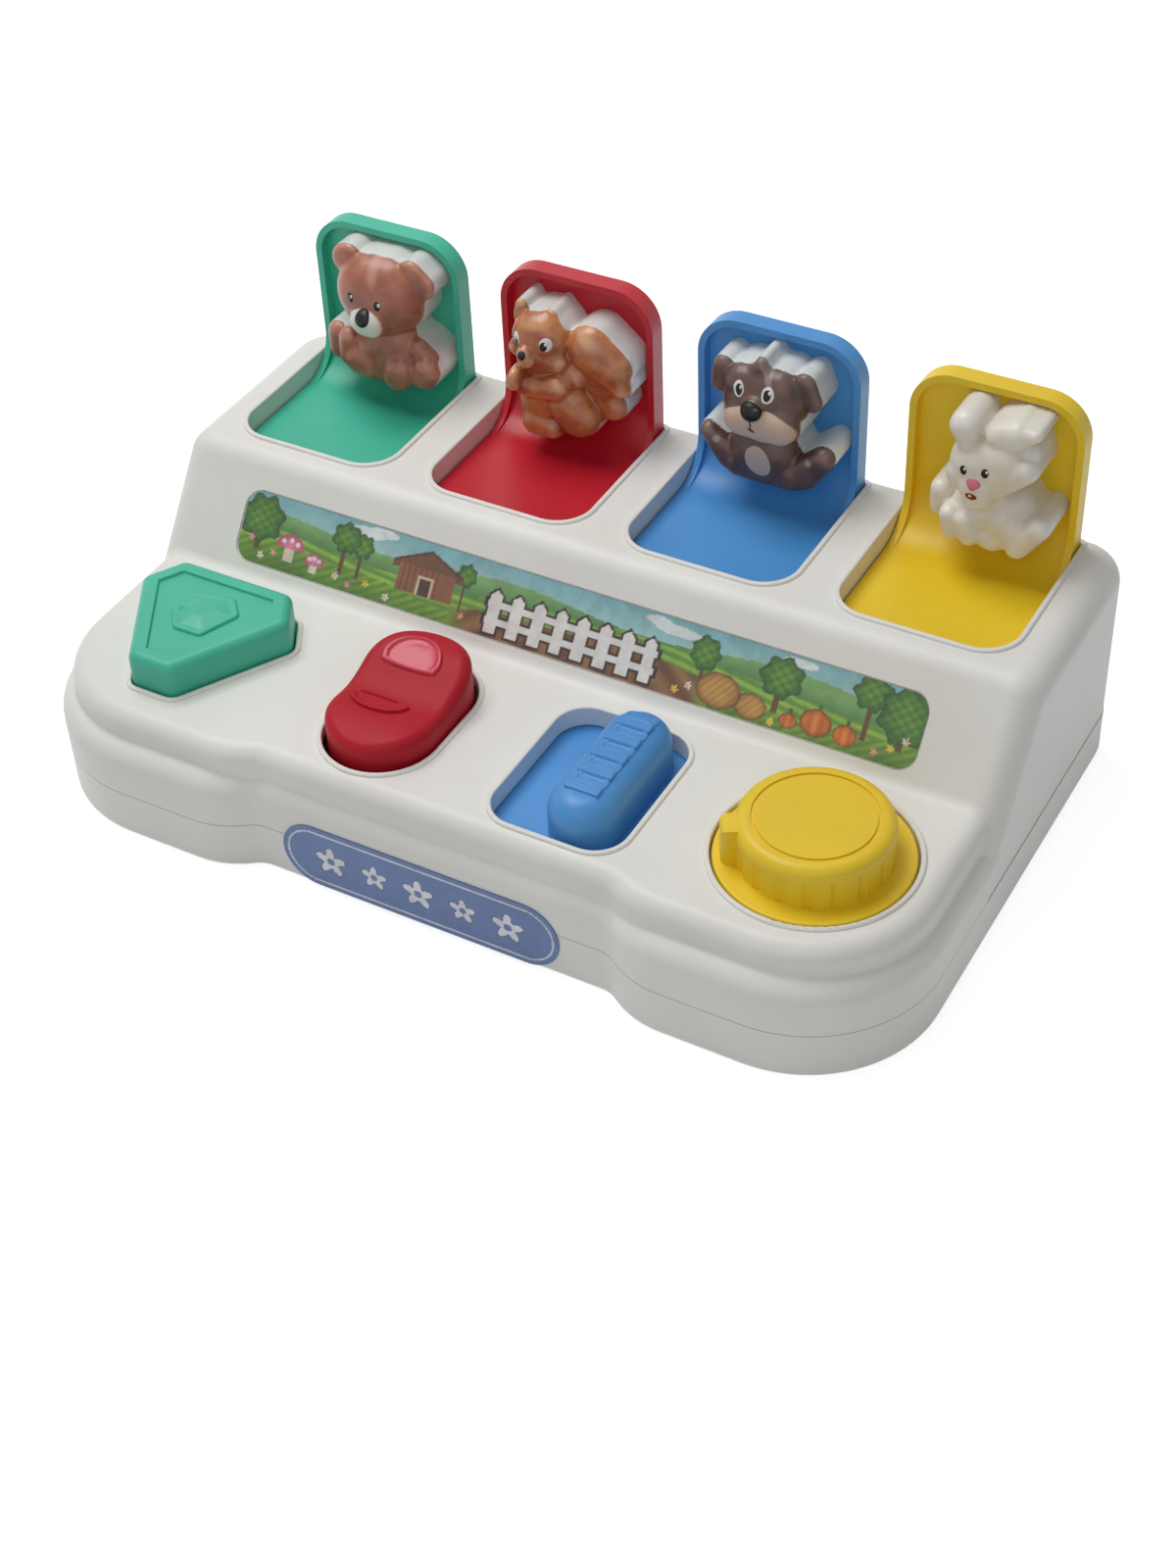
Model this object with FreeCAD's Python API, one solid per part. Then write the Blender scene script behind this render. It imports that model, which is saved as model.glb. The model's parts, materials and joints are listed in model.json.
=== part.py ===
import FreeCAD, Part
import math
import os
from FreeCAD import Vector

# Pop-up animal toy, in millimetres.  X runs across the front, Y to the rear, Z up.
# The origin is on the table under the middle of the housing.

# ---------------------------------------------------------------- housing sizes
width = 260.0
depth = 160.0
wall = 2.4
parting_z = 15.5
shoulder_z = 31.0
front_deck_z = 39.0
rear_deck_z = 66.5
slope_angle = 53.0
front_deck_depth = 71.7
notch_depth = 6.5
notch_half_length = 50.5
notch_inner_radius = 8.0
lobe_radius = 25.0
front_corner_radius = 37.0
rear_corner_radius = 12.0
deck_edge_radius = 8.0
shoulder_radius = 6.5
slab_inset_side = 3.2
slab_inset_front = 5.2
slab_inset_notch = 2.6
slab_edge_radius = 5.0
crease_radius = 1.0
slope_foot_radius = 5.0
rear_block_inset = 0.15
tier_overlap = 12.0
foot_radius = 3.0
lip_height = 3.0
lip_thickness = 1.3
lip_clearance = 0.3
lip_root_drop = 2.0
bead_width = 1.5
bead_height = 0.8
bead_radius = 0.55
bead_root = 1.2
sink = 0.5

# ---------------------------------------------------------------- lids and latches
lid_side_margin = 6.0
lid_bridge = 13.8
lid_front_margin = 6.8
lid_names = ["green", "red", "blue", "yellow"]
figure_names = ["bear", "squirrel", "puppy", "rabbit"]
lid_clearance = 0.4
hinge_setback = 11.5
hinge_drop = 4.0
lid_thickness = 2.4
lid_corner_radius = 12.0
lid_bend_radius = 14.0
lid_rim_depth = 5.6
lid_rim_thickness = 2.0
lid_rim_bend = 12.0
opening_front_radius = 10.0
skirt_depth = 8.0
skirt_thickness = 1.6
plate_gap = 1.0
tongue_width = 30.0
tongue_reach = 3.0
tongue_side_gap = 2.0
notch_width = 3.0
notch_cut = 1.6
tongue_root = 4.0
rod_radius = 1.0
rod_running = 0.06
rod_seat = 0.03
rod_overhang = 3.6
rod_end_gap = 0.3
hinge_block_half = 4.0
spring_pocket_half = 6.0
spring_pocket_radius = 2.7
spring_wire = 0.45
spring_coil_radius = 1.75
spring_turns = 8
spring_inner_leg = 1.7
spring_leg = 3.8
spring_end_gap = 1.2
hinge_block_wall = 0.6

lever_width = 5.0
lever_pivot_setback = 1.7
lever_pivot_z = 8.0
lever_arm_low = 6.6
lever_arm_high = 9.6
lever_hub_radius = 3.2
lever_upright_thickness = 4.0
lever_upright_top = 25.0
lever_edge = 1.0
lever_web = 2.0
lever_web_reach = 12.0
nose_thickness = 2.5
nose_gap = 0.3
nose_overlap = 2.2
lever_pin_radius = 1.25
ear_thickness = 2.0
ear_gap = 0.4
ear_half_depth = 3.0
ear_height = 3.0
latch_spring_reach = 22.0
latch_spring_radius = 2.0
latch_spring_wire = 0.4
latch_spring_turns = 3
latch_spring_gap = 0.35
cam_gap = 0.4

# ---------------------------------------------------------------- front controls
control_setback = 39.5
flange_gap = 0.3
play = 0.5

button_setback = 38.7
button_offset = 2.3
button_short = 25.0
button_long = 18.5
button_corner = 4.0
button_height = 10.5
button_travel = 6.0
button_wall = 2.2
button_edge = 2.6
button_flange = 1.5
button_flange_thickness = 1.8
button_panel_inset = 5.0
button_panel_depth = 1.0
button_boss_radius = 6.75
button_boss_depth = 3.0
button_slot = 0.13
button_post_radius = 2.6
button_post_reach = 6.0
button_post_room = 0.25
button_bore_depth = 22.0
button_guide_radius = 5.0
button_spring_radius = 6.4
button_spring_wire = 0.7
button_spring_turns = 9
button_guide_low = 14.0
button_fin_root = 5.0
fin_thickness = 4.0
spring_gap = 0.05

rocker_place = 0.351
rocker_width = 32.0
rocker_length = 50.0
rocker_end_gap = 2.0
rocker_pivot_z = 32.0
rocker_bottom_z = 28.0
# the saddle's side view: places along its half length, from the front, and heights above the deck
rocker_profile = [(-1.0, 5.4), (-0.53, 8.0), (-0.05, 7.2), (0.48, 11.5), (1.0, 10.0)]
rocker_wall = 2.4
rocker_roof = 3.0
rocker_spine_half = 3.2
rocker_spine_end = 2.0
rocker_edge = 3.0
rocker_pin_radius = 1.5
rocker_wedge_slope = 0.62
rocker_wedge_gap = 0.3
rocker_wedge_root = 8.0
rocker_wedge_drop = 5.0
rocker_wedge_flat = 4.0
rocker_ear_gap = 0.4
rocker_ear_thickness = 2.8
rocker_ear_half = 4.0
rocker_ear_drop = 3.5
rocker_pin_overhang = 2.0

window_place = 0.661
window_length = 49.0
window_corner = 9.0
slide_recess = 5.4
slide_plate = 2.0
slide_margin = 1.5
slide_side_margin = 0.8
slide_travel = 14.0
slide_gap = 0.3
handle_room = 4.0
handle_far_room = 1.5
handle_gap = 1.0
handle_width = 18.5
handle_length = 46.5
handle_rise = 15.0
handle_dome = 6.5
rib_length = 9.5
rib_width = 3.2
rib_height = 0.7
rib_count = 5
rib_pitch = 6.8
rib_edge = 0.5
rib_root = 1.5
slide_cam_slope = 0.05
slide_cam_end = 3.0
slide_cam_depth = 17.6
slide_stem_depth = 7.0
guide_rail = 5.0
guide_rail_height = 2.0
guide_rail_reach = 2.0
guide_post_radius = 2.2
guide_post_gap = 3.0
cam_drop = 4.5
cam_climb = 2.0

knob_setback = 36.5
knob_offset = 0.5
knob_opening_radius = 26.0
knob_flange_gap = 0.6
knob_flange_thickness = 2.0
knob_flange_drop = 1.6
knob_flange_edge = 0.8
knob_radius = 20.0
knob_rise = 12.0
knob_edge = 3.0
knob_scallops = 18
knob_scallop_radius = 2.4
knob_scallop_depth = 0.6
knob_disc_radius = 16.0
knob_disc_depth = 0.5
knob_disc_groove = 0.9
knob_wall = 2.4
knob_roof = 3.2
pointer_half = 3.5
pointer_inset = 2.0
pointer_drop = 1.0
pointer_edge = 2.0
pointer_turn = 30.0
knob_hub_radius = 5.0
knob_turn = 60.0
knob_post_radius = 3.5
knob_post_gap = 0.3
knob_hub_low = 4.0
knob_screw_bore = 16.0
hub_play = 0.1
collar_overlap = 2.0
collar_gap = 0.4
collar_thickness = 2.0
collar_hub_radius = 8.0
cam_low_z = 20.0
cam_high_z = 29.0
cam_rise = 0.8
cam_ring = 8.6
cam_overrun = 8.0
spoke_half = 4.0
spoke_height = 3.0

# ---------------------------------------------------------------- figures
figure_gap = 0.05
figure_drawn_rise = 44.9
figure_drawn_width = 48.2
figure_depth = 24.0
# each row is a limb: its two ends across and up the lid's wall, its radius, its front and its dome
figure_lobes = {
    "bear": [
        (0.0, 35.0, 5.0, 35.0, 12.0, 18.0, 8.0), (-9.0, 42.3, -9.0, 42.3, 4.6, 10.0, 2.0),
        (13.8, 41.0, 13.8, 41.0, 5.0, 11.0, 2.0), (1.0, 29.4, 3.4, 29.4, 4.7, 21.0, 4.0),
        (0.5, 15.0, 5.0, 17.5, 11.0, 16.0, 7.0), (-12.5, 19.0, -14.2, 12.5, 3.8, 13.0, 3.0),
        (13.4, 19.0, 16.9, 16.0, 4.2, 13.0, 3.0), (-4.2, 10.5, -3.8, 14.0, 5.5, 17.0, 4.0),
        (8.5, 9.5, 9.0, 12.5, 4.6, 18.0, 3.5), (16.9, 11.5, 17.2, 14.0, 4.8, 15.5, 3.5),
    ],
    "squirrel": [
        (-8.0, 34.5, -5.5, 34.5, 8.6, 17.0, 6.0), (-13.3, 38.0, -14.3, 41.8, 2.6, 10.0, 1.2),
        (-3.0, 38.0, -2.5, 41.8, 2.8, 10.0, 1.2), (-6.0, 13.0, -6.0, 17.0, 10.0, 16.0, 6.0),
        (-11.5, 25.0, -8.5, 23.5, 3.2, 20.5, 2.5), (-7.0, 22.5, 2.0, 23.0, 3.2, 17.5, 2.5),
        (3.5, 13.0, 4.0, 17.0, 6.0, 17.0, 4.0), (-3.0, 7.8, 6.0, 7.5, 3.2, 17.0, 2.5),
        (11.2, 30.0, 11.2, 30.0, 10.8, 13.0, 5.0), (14.0, 18.0, 14.0, 18.0, 5.2, 12.5, 3.0),
        (9.0, 22.0, 9.0, 22.0, 7.0, 12.0, 3.0),
    ],
    "puppy": [
        (-3.5, 34.0, 2.5, 34.0, 10.5, 17.0, 6.5), (-1.5, 40.5, -1.5, 40.5, 6.0, 14.5, 4.0),
        (-14.3, 33.5, -13.8, 39.0, 3.0, 11.0, 2.0), (11.5, 35.5, 13.0, 40.5, 4.0, 12.0, 2.5),
        (-4.5, 29.5, 5.5, 29.5, 6.2, 19.0, 4.5), (-0.3, 35.6, -0.3, 35.6, 3.6, 21.5, 3.0),
        (0.0, 13.0, 0.0, 18.0, 10.0, 16.5, 6.0), (-9.0, 17.0, -15.3, 21.5, 3.2, 14.0, 2.5),
        (11.0, 16.0, 18.3, 20.7, 3.6, 14.0, 2.5), (-9.5, 10.5, -9.5, 10.5, 5.0, 16.0, 3.5),
        (10.5, 9.5, 10.5, 9.5, 5.4, 16.0, 3.5),
    ],
    "rabbit": [
        (-1.0, 32.0, 5.5, 34.0, 8.8, 17.5, 6.5), (1.7, 27.5, 1.7, 27.5, 6.2, 18.5, 4.5),
        (10.5, 35.5, 10.5, 35.5, 4.2, 12.0, 3.0), (-2.2, 41.0, -4.6, 43.6, 4.5, 15.0, 3.5),
        (3.5, 41.8, 10.5, 44.2, 4.0, 14.0, 3.0), (2.5, 13.5, 2.5, 19.0, 11.0, 16.0, 7.0),
        (-11.0, 15.5, -11.3, 20.0, 3.2, 12.0, 2.5), (11.0, 17.5, 11.0, 17.5, 6.0, 15.0, 4.0),
        (11.5, 9.5, 17.5, 16.5, 3.4, 16.5, 2.8), (-3.1, 15.5, -3.1, 15.5, 3.0, 18.5, 2.5),
        (3.4, 14.5, 3.4, 14.5, 3.2, 18.5, 2.5),
    ],
}

# ---------------------------------------------------------------- labels and fasteners
label_thickness = 0.3
label_recess = 0.6
banner_side_margin = 26.0
banner_height = 20.0
banner_corner = 5.0
banner_play = 0.5
banner_centre_z = 50.3
badge_x = -3.0
badge_z = 11.8
badge_length = 84.0
badge_height = 20.6

screw_radius = 1.3
screw_seat = 0.05
screw_tip_edge = 0.3
screw_head_radius = 2.8
screw_head_height = 2.0
screw_length = 10.0
screw_recess = 4.5
boss_radius = 3.6
boss_play = 0.2
screw_head_room = 0.4
screw_head_edge = 0.7
screw_cross = 3.2
screw_cross_width = 0.8
screw_cross_depth = 0.9
screw_hole_room = 0.4
pilot_depth = 5.0
boss_low_z = 8.0
boss_lip_gap = 0.9
side_boss_setback = 44.0
rear_boss_setback = 24.0
front_boss_setback = 9.5
front_boss_inset = 55.0
middle_boss_reach = 7.3

# ---------------------------------------------------------------- worked-out values
half_width = width / 2
front_y = -depth / 2
rear_y = depth / 2
slope = math.radians(slope_angle)
slope_foot_y = front_y + front_deck_depth
slope_top_y = slope_foot_y + (rear_deck_z - front_deck_z) / math.tan(slope)
hinge_y = rear_y - hinge_setback
hinge_z = rear_deck_z - hinge_drop
lid_pitch = (width - 2 * lid_side_margin) / len(lid_names)
lid_centres = [(i - (len(lid_names) - 1) / 2) * lid_pitch for i in range(len(lid_names))]
lid_width = lid_pitch - lid_bridge
opening_half = lid_width / 2 + lid_clearance
opening_front_y = slope_top_y + lid_front_margin
lid_reach = hinge_y - opening_front_y - lid_clearance
lid_rise = lid_reach - hinge_drop
opening_rear_y = hinge_y + hinge_drop + lid_clearance
opening_rear_radius = 2 * lid_clearance
plate_front = lid_reach - plate_gap
plate_top_z = hinge_z - hinge_drop + lid_thickness
lid_wall_y = hinge_y + hinge_drop - lid_thickness
tongue_tip_z = hinge_z - plate_front - tongue_reach
control_y = front_y + control_setback
button_x = -half_width + button_setback
button_y = control_y + button_offset
knob_x = half_width - knob_setback
knob_y = control_y + knob_offset
rocker_x = button_x + rocker_place * (knob_x - button_x)
window_x = button_x + window_place * (knob_x - button_x)
window_width = handle_far_room + slide_travel + handle_width + handle_room
handle_x = window_x + window_width / 2 - handle_room - handle_width / 2
slide_top_z = front_deck_z - slide_recess
slide_low_z = slide_top_z - slide_plate
plate_y0 = control_y - window_length / 2 - slide_side_margin
plate_y1 = control_y + window_length / 2 + slide_side_margin
plate_x0 = window_x - window_width / 2 - slide_margin
plate_x1 = window_x + window_width / 2 + slide_margin + slide_travel
guide_high_z = slide_low_z - slide_gap
guide_low_z = guide_high_z - guide_rail_height
guide_y = [plate_y0 + (guide_rail - guide_rail_reach) / 2, plate_y1 - (guide_rail - guide_rail_reach) / 2]
guide_post_clear = slide_cam_end + slide_travel + guide_post_gap + guide_post_radius
guide_post_x = [lid_centres[2] - guide_post_clear, lid_centres[2] + guide_post_clear]
handle_y = control_y + window_length / 2 - handle_gap - handle_length / 2
button_top_z = front_deck_z + button_height
button_roof_z = button_top_z - button_wall - button_panel_depth
lever_pivot_y = slope_foot_y - lever_pivot_setback
latch_spring_y = lever_pivot_y + latch_spring_reach
lever_front_y = lever_pivot_y - lever_upright_thickness / 2
cam_face_y = lever_front_y - cam_gap
knob_screw_z = cam_low_z - screw_head_height
collar_high_z = front_deck_z - wall - collar_gap
collar_radius = knob_opening_radius + collar_overlap
knob_flange_radius = knob_opening_radius - knob_flange_gap
figure_half_width = lid_width / 2 - lid_rim_thickness - figure_gap
figure_top_z = hinge_z + lid_reach - lid_rim_thickness - figure_gap
figure_scale = min(lid_rise / figure_drawn_rise, lid_width / figure_drawn_width)
side_boss_x = half_width - wall - lip_clearance - lip_thickness - boss_lip_gap - boss_radius
front_boss_x = half_width - front_boss_inset
screw_places = [(x, rear_y - rear_boss_setback) for x in (-lid_pitch, 0, lid_pitch)]
screw_places += [(x, rear_y - side_boss_setback) for x in (-side_boss_x, side_boss_x)]
screw_places += [(x, front_y + front_boss_setback) for x in (-front_boss_x, front_boss_x)]
screw_places.append((0, slope_foot_y + middle_boss_reach))


def save(name, shape):
    os.makedirs("parts", exist_ok=True)
    shape.exportStep("parts/" + name + ".step")


def fused(shapes):
    return shapes[0].multiFuse(shapes[1:]).removeSplitter()


def block(x0, x1, y0, y1, z0, z1):
    return Part.makeBox(x1 - x0, y1 - y0, z1 - z0, Vector(x0, y0, z0))


def rod_x(radius, x0, x1, y, z):
    return Part.makeCylinder(radius, x1 - x0, Vector(x0, y, z), Vector(1, 0, 0))


def rod_z(radius, x, y, z0, z1):
    return Part.makeCylinder(radius, z1 - z0, Vector(x, y, z0))


def arc(cx, cy, radius, start, end):
    """Arc in the XY plane from one angle to another, in degrees."""
    points = []
    for share in (0, 0.5, 1):
        a = math.radians(start + (end - start) * share)
        points.append(Vector(cx + radius * math.cos(a), cy + radius * math.sin(a), 0))
    return Part.Arc(*points).toShape()


def line(a, b):
    return Part.makeLine(Vector(*a), Vector(*b))


def mirrored_wire(edges):
    """Closed wire from its right half, which starts and ends on the YZ plane."""
    mirrored = [e.mirror(Vector(0, 0, 0), Vector(1, 0, 0)) for e in edges]
    return Part.Wire(Part.__sortEdges__(edges + mirrored))


def outline(side, front, notch, inset):
    """Plan of the housing: two big front lobes beside a recessed middle, and a straight rear."""
    lobe_c = Vector(0, front + lobe_radius, 0)
    notch_c = Vector(notch_half_length, notch - notch_inner_radius, 0)
    rise = lobe_c.y - notch_c.y
    lobe_c.x = notch_c.x + math.sqrt((lobe_radius + notch_inner_radius) ** 2 - rise ** 2)
    turn = math.degrees(math.atan2(notch_c.y - lobe_c.y, notch_c.x - lobe_c.x))
    corner_x = half_width - front_corner_radius
    corner_r = front_corner_radius - (half_width - side)
    corner_y = front + corner_r
    rear_r = rear_corner_radius - (half_width - side)
    edges = [
        line((0, notch + inset, 0), (notch_c.x, notch + inset, 0)),
        arc(notch_c.x, notch_c.y, notch_inner_radius + inset, 90, turn + 180),
        arc(lobe_c.x, lobe_c.y, lobe_radius - inset, turn, -90),
        line((lobe_c.x, front + inset, 0), (corner_x, front + inset, 0)),
        arc(corner_x, corner_y, corner_r - inset, -90, 0),
        line((side - inset, corner_y, 0), (side - inset, rear_y - rear_corner_radius, 0)),
        arc(side - rear_r, rear_y - rear_corner_radius, rear_r - inset, 0, 90),
    ]
    last = edges[-1].Vertexes[-1].Point
    if abs(last.x - (side - rear_r)) > 0.001:
        last = edges[-1].Vertexes[0].Point
    edges.append(line((last.x, last.y, 0), (0, last.y, 0)))
    return mirrored_wire(edges)


def prism(wire, z0, z1):
    face = Part.Face(wire)
    face.translate(Vector(0, 0, z0))
    return face.extrude(Vector(0, 0, z1 - z0))


def body_outline(inset):
    return outline(half_width, front_y, front_y + notch_depth, inset)


def slab_outline(inset):
    front = front_y + slab_inset_front
    notch = front_y + notch_depth + slab_inset_notch
    return outline(half_width - slab_inset_side, front, notch, inset)


def edges_at(shape, z):
    return [e for e in shape.Edges if all(abs(v.Z - z) < 0.01 for v in e.Vertexes)]


def slope_y(z, skin=0.0):
    """Where the banner face is at height z, moved inwards by skin."""
    return slope_foot_y + skin / math.sin(slope) + (z - front_deck_z) / math.tan(slope)


def behind_slope(skin, shift=0.0):
    """Everything behind the banner's plane, moved inwards by skin and to the rear by shift."""
    high = rear_deck_z + 1
    low_y = slope_y(0, skin) + shift
    high_y = slope_y(high, skin) + shift
    points = [(low_y, 0), (depth, 0), (depth, high), (high_y, high)]
    return slab_x(points, -width, width)


def slab_x(points, x0, x1):
    """Solid between two planes across the toy, from the corners (y, z) of its side view."""
    corners = [Vector(x0, y, z) for y, z in points]
    return Part.Face(Part.makePolygon(corners + corners[:1])).extrude(Vector(x1 - x0, 0, 0))


def rear_block(skin):
    """It stands a hair inside the front tier, which ends a little way behind the slope."""
    top = rear_deck_z - skin
    inset = skin + rear_block_inset
    solid = prism(body_outline(inset), parting_z, top).common(behind_slope(skin))
    chosen = edges_at(solid, top)
    for e in solid.Edges:
        m = middle_of(e)
        on_side = abs(abs(m.x) - (half_width - inset)) < 0.01
        if on_side and abs(m.y - slope_y(m.z, skin)) < 0.01:
            chosen.append(e)
    return solid.makeFillet(deck_edge_radius - skin, chosen)


def front_tier(skin):
    top = shoulder_z - skin
    solid = prism(body_outline(skin), parting_z, top)
    solid = solid.makeFillet(shoulder_radius - skin, edges_at(solid, top))
    return solid.cut(behind_slope(skin, tier_overlap))


def front_slab(skin):
    top = front_deck_z - skin
    solid = prism(slab_outline(skin), parting_z, top)
    solid = solid.makeFillet(slab_edge_radius - skin, edges_at(solid, top))
    return solid.common(block(-width, width, -depth, slope_foot_y + tier_overlap, 0, rear_deck_z))


def upper_form(skin):
    return fused([rear_block(skin), front_tier(skin), front_slab(skin)])


def middle_of(edge):
    return edge.valueAt((edge.FirstParameter + edge.LastParameter) / 2)


def outer_form():
    """Outside of the upper shell, with the hollow corners between its blocks made round."""
    form = upper_form(0)
    foot = []
    for e in form.Edges:
        m = middle_of(e)
        if abs(m.z - front_deck_z) < 0.01 and abs(m.y - slope_foot_y) < 0.01:
            foot.append(e)
    form = form.makeFillet(slope_foot_radius, foot)
    plan = slab_outline(0)
    crease = []
    for e in form.Edges:
        m = middle_of(e)
        on_plan = plan.distToShape(Part.Vertex(m.x, m.y, 0))[0] < 0.1
        if on_plan and shoulder_z - shoulder_radius < m.z < shoulder_z + 0.01:
            crease.append(e)
    return form.makeFillet(crease_radius, crease)


def rounded_polygon(points, radius):
    """Closed wire through the points of a polygon that is grown by radius, with round corners."""
    corners = [Vector(x, y, 0) for x, y in points]
    return Part.makePolygon(corners + corners[:1]).makeOffset2D(radius)


def opening_wire(x, grow):
    """Plan of a lid opening, grown outwards."""
    x0, x1 = x - opening_half - grow, x + opening_half + grow
    y0, y1 = opening_front_y - grow, opening_rear_y + grow
    rf, rr = opening_front_radius + grow, opening_rear_radius + grow
    edges = [
        line((x0 + rf, y0, 0), (x1 - rf, y0, 0)),
        arc(x1 - rf, y0 + rf, rf, -90, 0),
        line((x1, y0 + rf, 0), (x1, y1 - rr, 0)),
        arc(x1 - rr, y1 - rr, rr, 0, 90),
        line((x1 - rr, y1, 0), (x0 + rr, y1, 0)),
        arc(x0 + rr, y1 - rr, rr, 90, 180),
        line((x0, y1 - rr, 0), (x0, y0 + rf, 0)),
        arc(x0 + rf, y0 + rf, rf, 180, 270),
    ]
    return Part.Wire(Part.__sortEdges__(edges))


def button_wire(grow):
    """Triangle pointing to the front with its three corners cut off and rounded."""
    near = button_long - button_corner
    far = button_short - button_corner
    points = []
    for k in range(3):
        point_angle = -90 + 120 * k
        for turn in (-60, 60):
            # each corner lies on a cut corner's line and on a long side's line
            a = math.radians(point_angle)
            b = math.radians(point_angle + turn)
            det = math.cos(a) * math.sin(b) - math.sin(a) * math.cos(b)
            x = (far * math.sin(b) - near * math.sin(a)) / det
            y = (near * math.cos(a) - far * math.cos(b)) / det
            points.append((button_x + x, button_y + y))
    return rounded_polygon(points, button_corner + grow)


def pill(x, y, half, radius):
    """Outline with round ends and straight sides along Y."""
    edges = [
        arc(x, y + half, radius, 0, 180),
        line((x - radius, y + half, 0), (x - radius, y - half, 0)),
        arc(x, y - half, radius, 180, 360),
        line((x + radius, y - half, 0), (x + radius, y + half, 0)),
    ]
    return Part.Wire(Part.__sortEdges__(edges))


def pill_wire(grow, end_gap=0.0):
    half = (rocker_length - rocker_width) / 2 - end_gap
    return pill(rocker_x, control_y, half, rocker_width / 2 + grow)


def window_wire(grow):
    hx = window_width / 2 - window_corner
    hy = window_length / 2 - window_corner
    points = [(-hx, -hy), (hx, -hy), (hx, hy), (-hx, hy)]
    return rounded_polygon([(window_x + x, control_y + y) for x, y in points], window_corner + grow)


def circle_wire(x, y, radius):
    return Part.Wire(Part.makeCircle(radius, Vector(x, y, 0)))


def knob_wire(grow):
    return circle_wire(knob_x, knob_y, knob_opening_radius + grow)


def bead(wire_of, deck_z):
    """Raised round bead along the edge of an opening."""
    top = deck_z + bead_height
    ring = prism(wire_of(bead_width), deck_z - bead_root, top)
    ring = ring.cut(prism(wire_of(0), deck_z - 2 * bead_root, top + 1))
    return ring.makeFillet(bead_radius, edges_at(ring, top))


def skirt(wire_of, z0, z1):
    return prism(wire_of(skirt_thickness), z0, z1).cut(prism(wire_of(0), z0 - 1, z1 + 1))


def slope_point(x, up, out):
    """Point on the banner face: across, up the slope from its middle, and out of the face."""
    y = slope_y(banner_centre_z) + up * math.cos(slope) - out * math.sin(slope)
    z = banner_centre_z + up * math.sin(slope) + out * math.cos(slope)
    return Vector(x, y, z)


def banner_solid(grow, out0, out1):
    hx = half_width - banner_side_margin - banner_corner
    hy = banner_height / 2 - banner_corner
    wire = rounded_polygon([(-hx, -hy), (hx, -hy), (hx, hy), (-hx, hy)], banner_corner + grow)
    solid = prism(wire, out0, out1)
    solid.rotate(Vector(0, 0, 0), Vector(1, 0, 0), slope_angle)
    solid.translate(slope_point(0, 0, 0))
    return solid


# ---------------------------------------------------------------- upper housing
def lid_hinge_blocks(x):
    """The two blocks beside an opening that hold the ends of its hinge rod."""
    top = rear_deck_z - wall + sink
    low = rear_deck_z - skirt_depth
    outer = opening_half + rod_overhang + hinge_block_wall
    blocks = []
    for side in (-1, 1):
        x0, x1 = sorted((x + side * opening_half, x + side * outer))
        blocks.append(block(x0, x1, hinge_y - hinge_block_half, hinge_y + hinge_block_half, low, top))
    return blocks


def lid_skirt(x):
    """Wall that hangs round a lid opening, with a gate at the front for the lid's tongue."""
    low = rear_deck_z - skirt_depth
    ring = skirt(lambda grow: opening_wire(x, grow), low, rear_deck_z - wall + sink)
    half = tongue_width / 2 + tongue_side_gap
    gate_top = rear_deck_z - wall
    y0, y1 = opening_front_y - 2 * skirt_thickness, opening_front_y + skirt_thickness
    return ring.cut(block(x - half, x + half, y0, y1, low - 1, gate_top))


def rocker_ears():
    """The two ears under the front deck that hold the rocker's pin."""
    top = front_deck_z - wall + sink
    low = rocker_pivot_z - rocker_ear_drop
    y0, y1 = control_y - rocker_ear_half, control_y + rocker_ear_half
    inner = rocker_width / 2 + rocker_ear_gap
    ears = []
    for side in (-1, 1):
        x0, x1 = sorted((rocker_x + side * inner, rocker_x + side * (inner + rocker_ear_thickness)))
        ears.append(block(x0, x1, y0, y1, low, top))
    return ears


def upper_housing():
    shell = outer_form().cut(upper_form(wall))
    low = rear_deck_z - skirt_depth
    add = rocker_ears()
    remove = [banner_solid(banner_play, -label_recess, deck_edge_radius)]
    for x in lid_centres:
        add.append(lid_skirt(x))
        add += lid_hinge_blocks(x)
        add.append(bead(lambda grow, x=x: opening_wire(x, grow), rear_deck_z))
        remove.append(prism(opening_wire(x, 0), low - 1, rear_deck_z + 2 * bead_height))
        half = opening_half + rod_overhang
        remove.append(rod_x(rod_radius + rod_seat, x - half, x + half, hinge_y, hinge_z))
    for wire_of in (button_wire, pill_wire, window_wire, knob_wire):
        add.append(bead(wire_of, front_deck_z))
        remove.append(prism(wire_of(0), shoulder_z, front_deck_z + 2 * bead_height))
    add.append(skirt(window_wire, slide_top_z + slide_gap, front_deck_z - wall + sink))
    half = rocker_width / 2 + rocker_ear_gap + rocker_pin_overhang
    seat = rocker_pin_radius + rod_seat
    remove.append(rod_x(seat, rocker_x - half, rocker_x + half, control_y, rocker_pivot_z))
    inside = upper_form(wall / 2)
    pilot_top = screw_recess + screw_length + pilot_depth
    for x, y in screw_places:
        add.append(rod_z(boss_radius, x, y, boss_low_z + boss_play, rear_deck_z).common(inside))
        remove.append(rod_z(screw_radius + screw_seat, x, y, boss_low_z - 1, pilot_top))
    solid = fused([shell] + add)
    for cutter in remove:
        solid = solid.cut(cutter)
    return solid


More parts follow.
